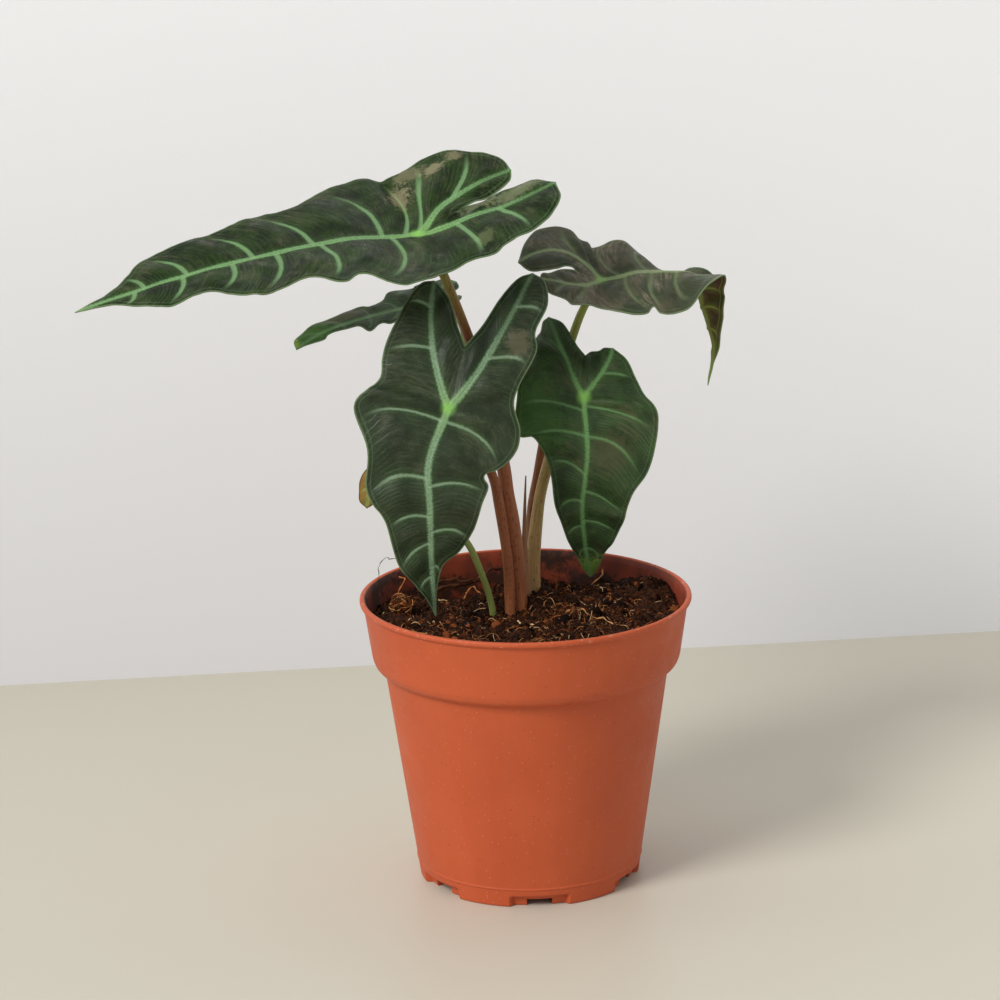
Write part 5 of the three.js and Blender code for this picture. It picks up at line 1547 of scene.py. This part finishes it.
# %% How each leaf looks
# A mark is a place on the flat drawing, its reach both ways, its tone and its strength.
USUAL = {"deep": (26, 37, 21), "fresh": (44, 56, 34), "silver": (84, 86, 66), "worn": 0.5, "fine": 0.2,
         "rib": 0.7, "side": 0.6, "side_wide": 0.12, "side_soft": 0.8, "main": 0.75, "pale": (146, 174, 140),
         "rib_green": (92, 128, 86), "margin": (124, 148, 104), "gloss": 0.42, "shine": 0.2,
         "dust": 0.22, "core": 0.7, "marks": []}
TAN, LIME, BROWN = (134, 128, 98), (150, 176, 66), (110, 62, 34)
LOOKS = {
    "leaf_1": {"deep": (14, 26, 7), "fresh": (36, 56, 18), "rib": 0.95, "pale": (132, 172, 118), "gloss": 0.3,
               "shine": 0.08, "fine": 0.16, "dust": 0.08, "worn": 0.45, "silver": (92, 92, 66),
               "rib_green": (84, 128, 66), "side_wide": 0.5, "side_soft": 0.9,
               "marks": [(23, -4, 7, 8, TAN, 0.8), (30, -15, 4, 6, TAN, 0.5), (26, -22, 3, 5, TAN, 0.75),
                         # The two marks of tone (120, 128, 92) on the near lobe's inner margin are a painted
                         # sheen.
                         (27, -32, 3, 4, TAN, 0.65), (-6, -38, 4, 13, (120, 128, 92), 0.6),
                         (-3, -24, 3, 8, (120, 128, 92), 0.5), (-23, -15, 4, 5, (96, 104, 70), 0.6),
                         (0, 127, 3, 5, (196, 140, 96), 0.9)]},
    "leaf_2": {"marks": [(-18, -28, 5, 6, (104, 100, 78), 0.6), (-12, 40, 9, 4, (62, 66, 48), 0.5)]},
    "leaf_3": {"deep": (32, 50, 24), "fresh": (52, 76, 38), "dust": 0.2, "pale": (118, 160, 104), "rib": 0.25,
               "rib_green": (84, 134, 70), "main": 0.7, "side": 0.5, "silver": (96, 92, 66), "fine": 0.28,
               # The first mark, a brighter green on the blade's right half, is painted light that shines
               # through the thin blade.
               "marks": [(18, 8, 12, 16, (62, 104, 44), 0.6), (-8, 20, 9, 8, (82, 80, 54), 0.5),
                         (0, 71, 11, 9, (128, 160, 70), 0.8), (1, 76, 3, 2, BROWN, 0.9)]},
    # Leaf 4's lighter brownish tone and its strong paler patches are partly a painted sheen, where the blade
    # is seen at a grazing angle.
    "leaf_4": {"deep": (38, 48, 26), "fresh": (84, 76, 58), "silver": (128, 116, 98), "worn": 0.85,
               "side": 0.24, "side_soft": 1.2, "main": 0.6, "pale": (150, 160, 122), "gloss": 0.5,
               "rib_green": (116, 146, 86), "fine": 0.1, "rib": 0.5, "core": 0.3,
               "marks": [(-2, -12, 6, 3, (34, 44, 22), 0.7), (22, 7, 5, 6, (34, 50, 24), 0.7),
                         (16, 30, 9, 8, (44, 54, 30), 0.8), (-14, 12, 7, 5, (52, 50, 32), 0.6)]},
    "leaf_5": {"deep": (24, 42, 17), "fresh": (46, 76, 30), "worn": 0.3, "side": 0.25, "main": 0.55,
               "pale": (118, 158, 100), "rib": 0.5,
               "marks": [(5, 32, 4, 12, (86, 80, 56), 0.6), (0, 46, 8, 9, (72, 118, 46), 0.7),
                         (0, 52, 5, 3, LIME, 0.8)]},
    "leaf_6": {"deep": (96, 92, 34), "fresh": (162, 112, 40), "silver": (128, 66, 28), "worn": 0.8,
               "margin": (48, 34, 22), "pale": (160, 160, 80)},
}
UPPER = {leaf: upper_finish(f"blade_{leaf[-1]}", SimpleNamespace(**(USUAL | look)))
         for leaf, look in LOOKS.items()}
UNDER_GREEN = under_finish("blade_under", (60, 84, 44), (84, 62, 46), (140, 164, 96))
UNDER_RED = under_finish("blade_under_red", (74, 34, 26), (66, 62, 26), (128, 138, 62))
print("leaf finishes:", len(UPPER) + 2)

# %% Build the blades
BLADE_SLOT = {"leaf_6": "old_blade"}
for leaf_name, drawing in LEAVES.items():
    lamina = build_blade(f"{leaf_name}_lamina", drawing)
    lamina.data.materials.append(UPPER[leaf_name])
    lamina.data.materials.append(UNDER_RED if leaf_name == "leaf_4" else UNDER_GREEN)
    belongs(lamina, BLADE_SLOT.get(leaf_name, "blade"), f"{leaf_name}_blade")

# %% [markdown]
# ## Petioles
#
# Each petiole is a smooth, slightly tapering stem that grows out of the corm and flattens
# against the underside of its blade. It is swept along a curve through the frame's own
# points. Its top is pressed flat below the blade, so it never shows above it.

# %% Petiole shape
PETIOLE_SIDES = 20
PETIOLE_STEP = 0.9
BELOW_BLADE = 0.25
NEAR_BLADE = 12.0


def even_path(knots, step):
    """A smooth path through knots with points a step apart, and the run to each point."""
    fine = through(knots, np.linspace(0, len(knots) - 1, (len(knots) - 1) * 24 + 1))
    runs = runs_along(fine)
    at = np.linspace(0, runs[-1], int(runs[-1] / step) + 2)
    return read_off(fine, runs, at), at


def radii_along(radii, share):
    return through([[radius] for radius in radii], share * (len(radii) - 1))[:, 0]


def stem_piece(name, points, faces, at, sides, seed):
    """A stem with facts for its material: its round section without a seam, and the run along it."""
    piece = make_piece(name, points, faces)
    angle = np.arange(sides) * 2 * np.pi / sides
    rows = [(math.cos(a) + seed, math.sin(a), run) for run in at for a in angle]
    store(piece, "stem_map", [*rows, (seed, 0, at[0]), (seed, 0, at[-1])])
    store(piece, "run", np.concatenate([np.repeat(at / at[-1], sides), [0, 1]]), "FLOAT")
    return piece


def build_petiole(name, leaf, seed):
    path, at = even_path(leaf["petiole"], PETIOLE_STEP)
    share = at / at[-1]
    swell = 1 + 0.03 * np.sin(at / 5 + seed) + 0.10 * soft_step(0.97, 1, share)
    points, faces = tube(path, radii_along(leaf["radii"], share) * swell, PETIOLE_SIDES)
    midrib = BentMidrib(leaf["midrib"], leaf["petiole_knot"])
    knot = leaf["petiole_knot"] * KNOT_STEPS
    height = (points - midrib.places[knot]) @ midrib.up[knot]
    close = np.linalg.norm(points - midrib.places[knot], axis=1) < NEAR_BLADE
    too_high = close & (height > -BELOW_BLADE)
    points[too_high] -= (height[too_high] + BELOW_BLADE)[:, None] * midrib.up[knot]
    return stem_piece(name, points, faces, at, PETIOLE_SIDES, seed)


# %% Petiole finish
def stem_finish(name, stops, fleck, fleck_share, streak, roughness=0.45):
    """Tone along the stem, with short flecks and long streaks."""
    coat = Finish(name, Specular_IOR_Level=0.4)
    skin = coat.stored("stem_map")
    lines = mottle(vector_maths("MULTIPLY", skin, (6.0, 6.0, 0.12)), 1.0, 0.14)
    coat.ramp(coat.stored("run", "Fac"), stops)
    coat.tint(lines, streak, 0.5)
    short = vector_maths("MULTIPLY", skin, (1.6, 1.6, 0.34))
    coat.tint(specks(short, 1.4, fleck_share, 0.5), fleck, 0.6)
    coat.rough(lines, 0.0, 1.0, roughness - 0.05, roughness + 0.1)
    coat.bump(lines, 0.35, 0.2)
    return coat.done()


# The red stems' tones are lighter than their own colour: painted light that makes up for the shade the blades
# cast on them.
RED_STOPS_WITH_PAINTED_LIGHT = [(0.0, (176, 110, 70)), (0.35, (166, 96, 56)), (0.74, (150, 84, 46)), (0.86, (146, 138, 58)),
             (1.0, (152, 164, 70))]
RED_STEM = ("red_petiole", RED_STOPS_WITH_PAINTED_LIGHT, (88, 42, 26), 0.65, (134, 76, 44))
STEMS = {
    "leaf_1": RED_STEM,
    "leaf_2": RED_STEM,
    "leaf_3": ("tan_petiole", [(0.0, (196, 154, 106)), (0.5, (200, 170, 108)), (1.0, (160, 158, 86))],
               (110, 66, 40), 0.4, (158, 120, 74)),
    "leaf_4": ("red_petiole", [(0.0, (160, 106, 72)), (0.5, (150, 86, 54)), (0.68, (146, 150, 66)),
                               (1.0, (150, 176, 78))], (84, 44, 28), 0.3, (128, 98, 54)),
    "leaf_5": ("green_petiole", [(0.0, (150, 160, 96)), (0.7, (150, 178, 96)), (1.0, (150, 184, 110))],
               (126, 138, 80), 0.15, (138, 156, 90)),
    "leaf_6": ("green_petiole", [(0.0, (138, 146, 80)), (0.4, (158, 172, 92)), (1.0, (160, 178, 104))],
               (126, 132, 74), 0.2, (140, 154, 84)),
}
for number, (leaf_name, (slot, *look)) in enumerate(STEMS.items()):
    stalk = build_petiole(f"{leaf_name}_stalk", LEAVES[leaf_name], number * 3.7)
    stalk.data.materials.append(stem_finish(f"{leaf_name}_stem", *look))
    belongs(stalk, slot, f"{leaf_name}_petiole")

# %% [markdown]
# ## Bud sheath and corm
#
# A new leaf comes up rolled in a thin papery sheath, which is a slim spike with a few long
# folds. The corm is the plant's short underground stem. Only soil shows there, so it keeps
# its CAD shape and gets a corky finish.

# %% Bud sheath
SHEATH_PATH = [(0.6, 13, 86), (0.4, 13, 101), (0, 13, 114), (0, 13, 124), (0.3, 13, 135), (0.8, 13, 146)]
SHEATH_RADII = [2.2, 2, 1.5, 1, 0.6, 0.25]
SHEATH_SIDES = 24
SHEATH_FOLDS = 5
SHEATH_STOPS = [(0.0, (186, 134, 90)), (0.5, (172, 118, 78)), (1.0, (130, 94, 66))]


def build_sheath():
    path, at = even_path(SHEATH_PATH, 0.8)
    points, faces = tube(path, radii_along(SHEATH_RADII, at / at[-1]), SHEATH_SIDES)
    turns = np.arange(SHEATH_SIDES) * 2 * np.pi / SHEATH_SIDES
    folds = np.tile(0.12 * np.cos(turns * SHEATH_FOLDS), len(path))
    middle = np.repeat(path, SHEATH_SIDES, axis=0)
    points[:-2] = middle + (points[:-2] - middle) * (0.9 + folds)[:, None]
    return stem_piece("bud_sheath_paper", points, faces, at, SHEATH_SIDES, 2.0)


sheath = build_sheath()
sheath.data.materials.append(
    stem_finish("sheath_paper", SHEATH_STOPS, (96, 66, 48), 0.25, (170, 138, 104), 0.6))
belongs(sheath, "sheath", "bud_sheath")

# %% Corm finish
def corm_finish():
    coat = Finish("corm_cork", Specular_IOR_Level=0.2)
    place = coat.place()
    bark = mottle(place, 220.0, 0.15)
    coat.base(bark, (84, 62, 44), (124, 98, 70))
    coat.rough(bark, 0.0, 1.0, 0.75, 0.95)
    coat.bump(cloud(place, 600.0, 4.0), 0.6, 0.4)
    return coat.done()


corm = next(o for o in bpy.context.scene.objects if o.get("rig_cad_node") == "corm")
corm.data.materials.clear()
corm.data.materials.append(corm_finish())
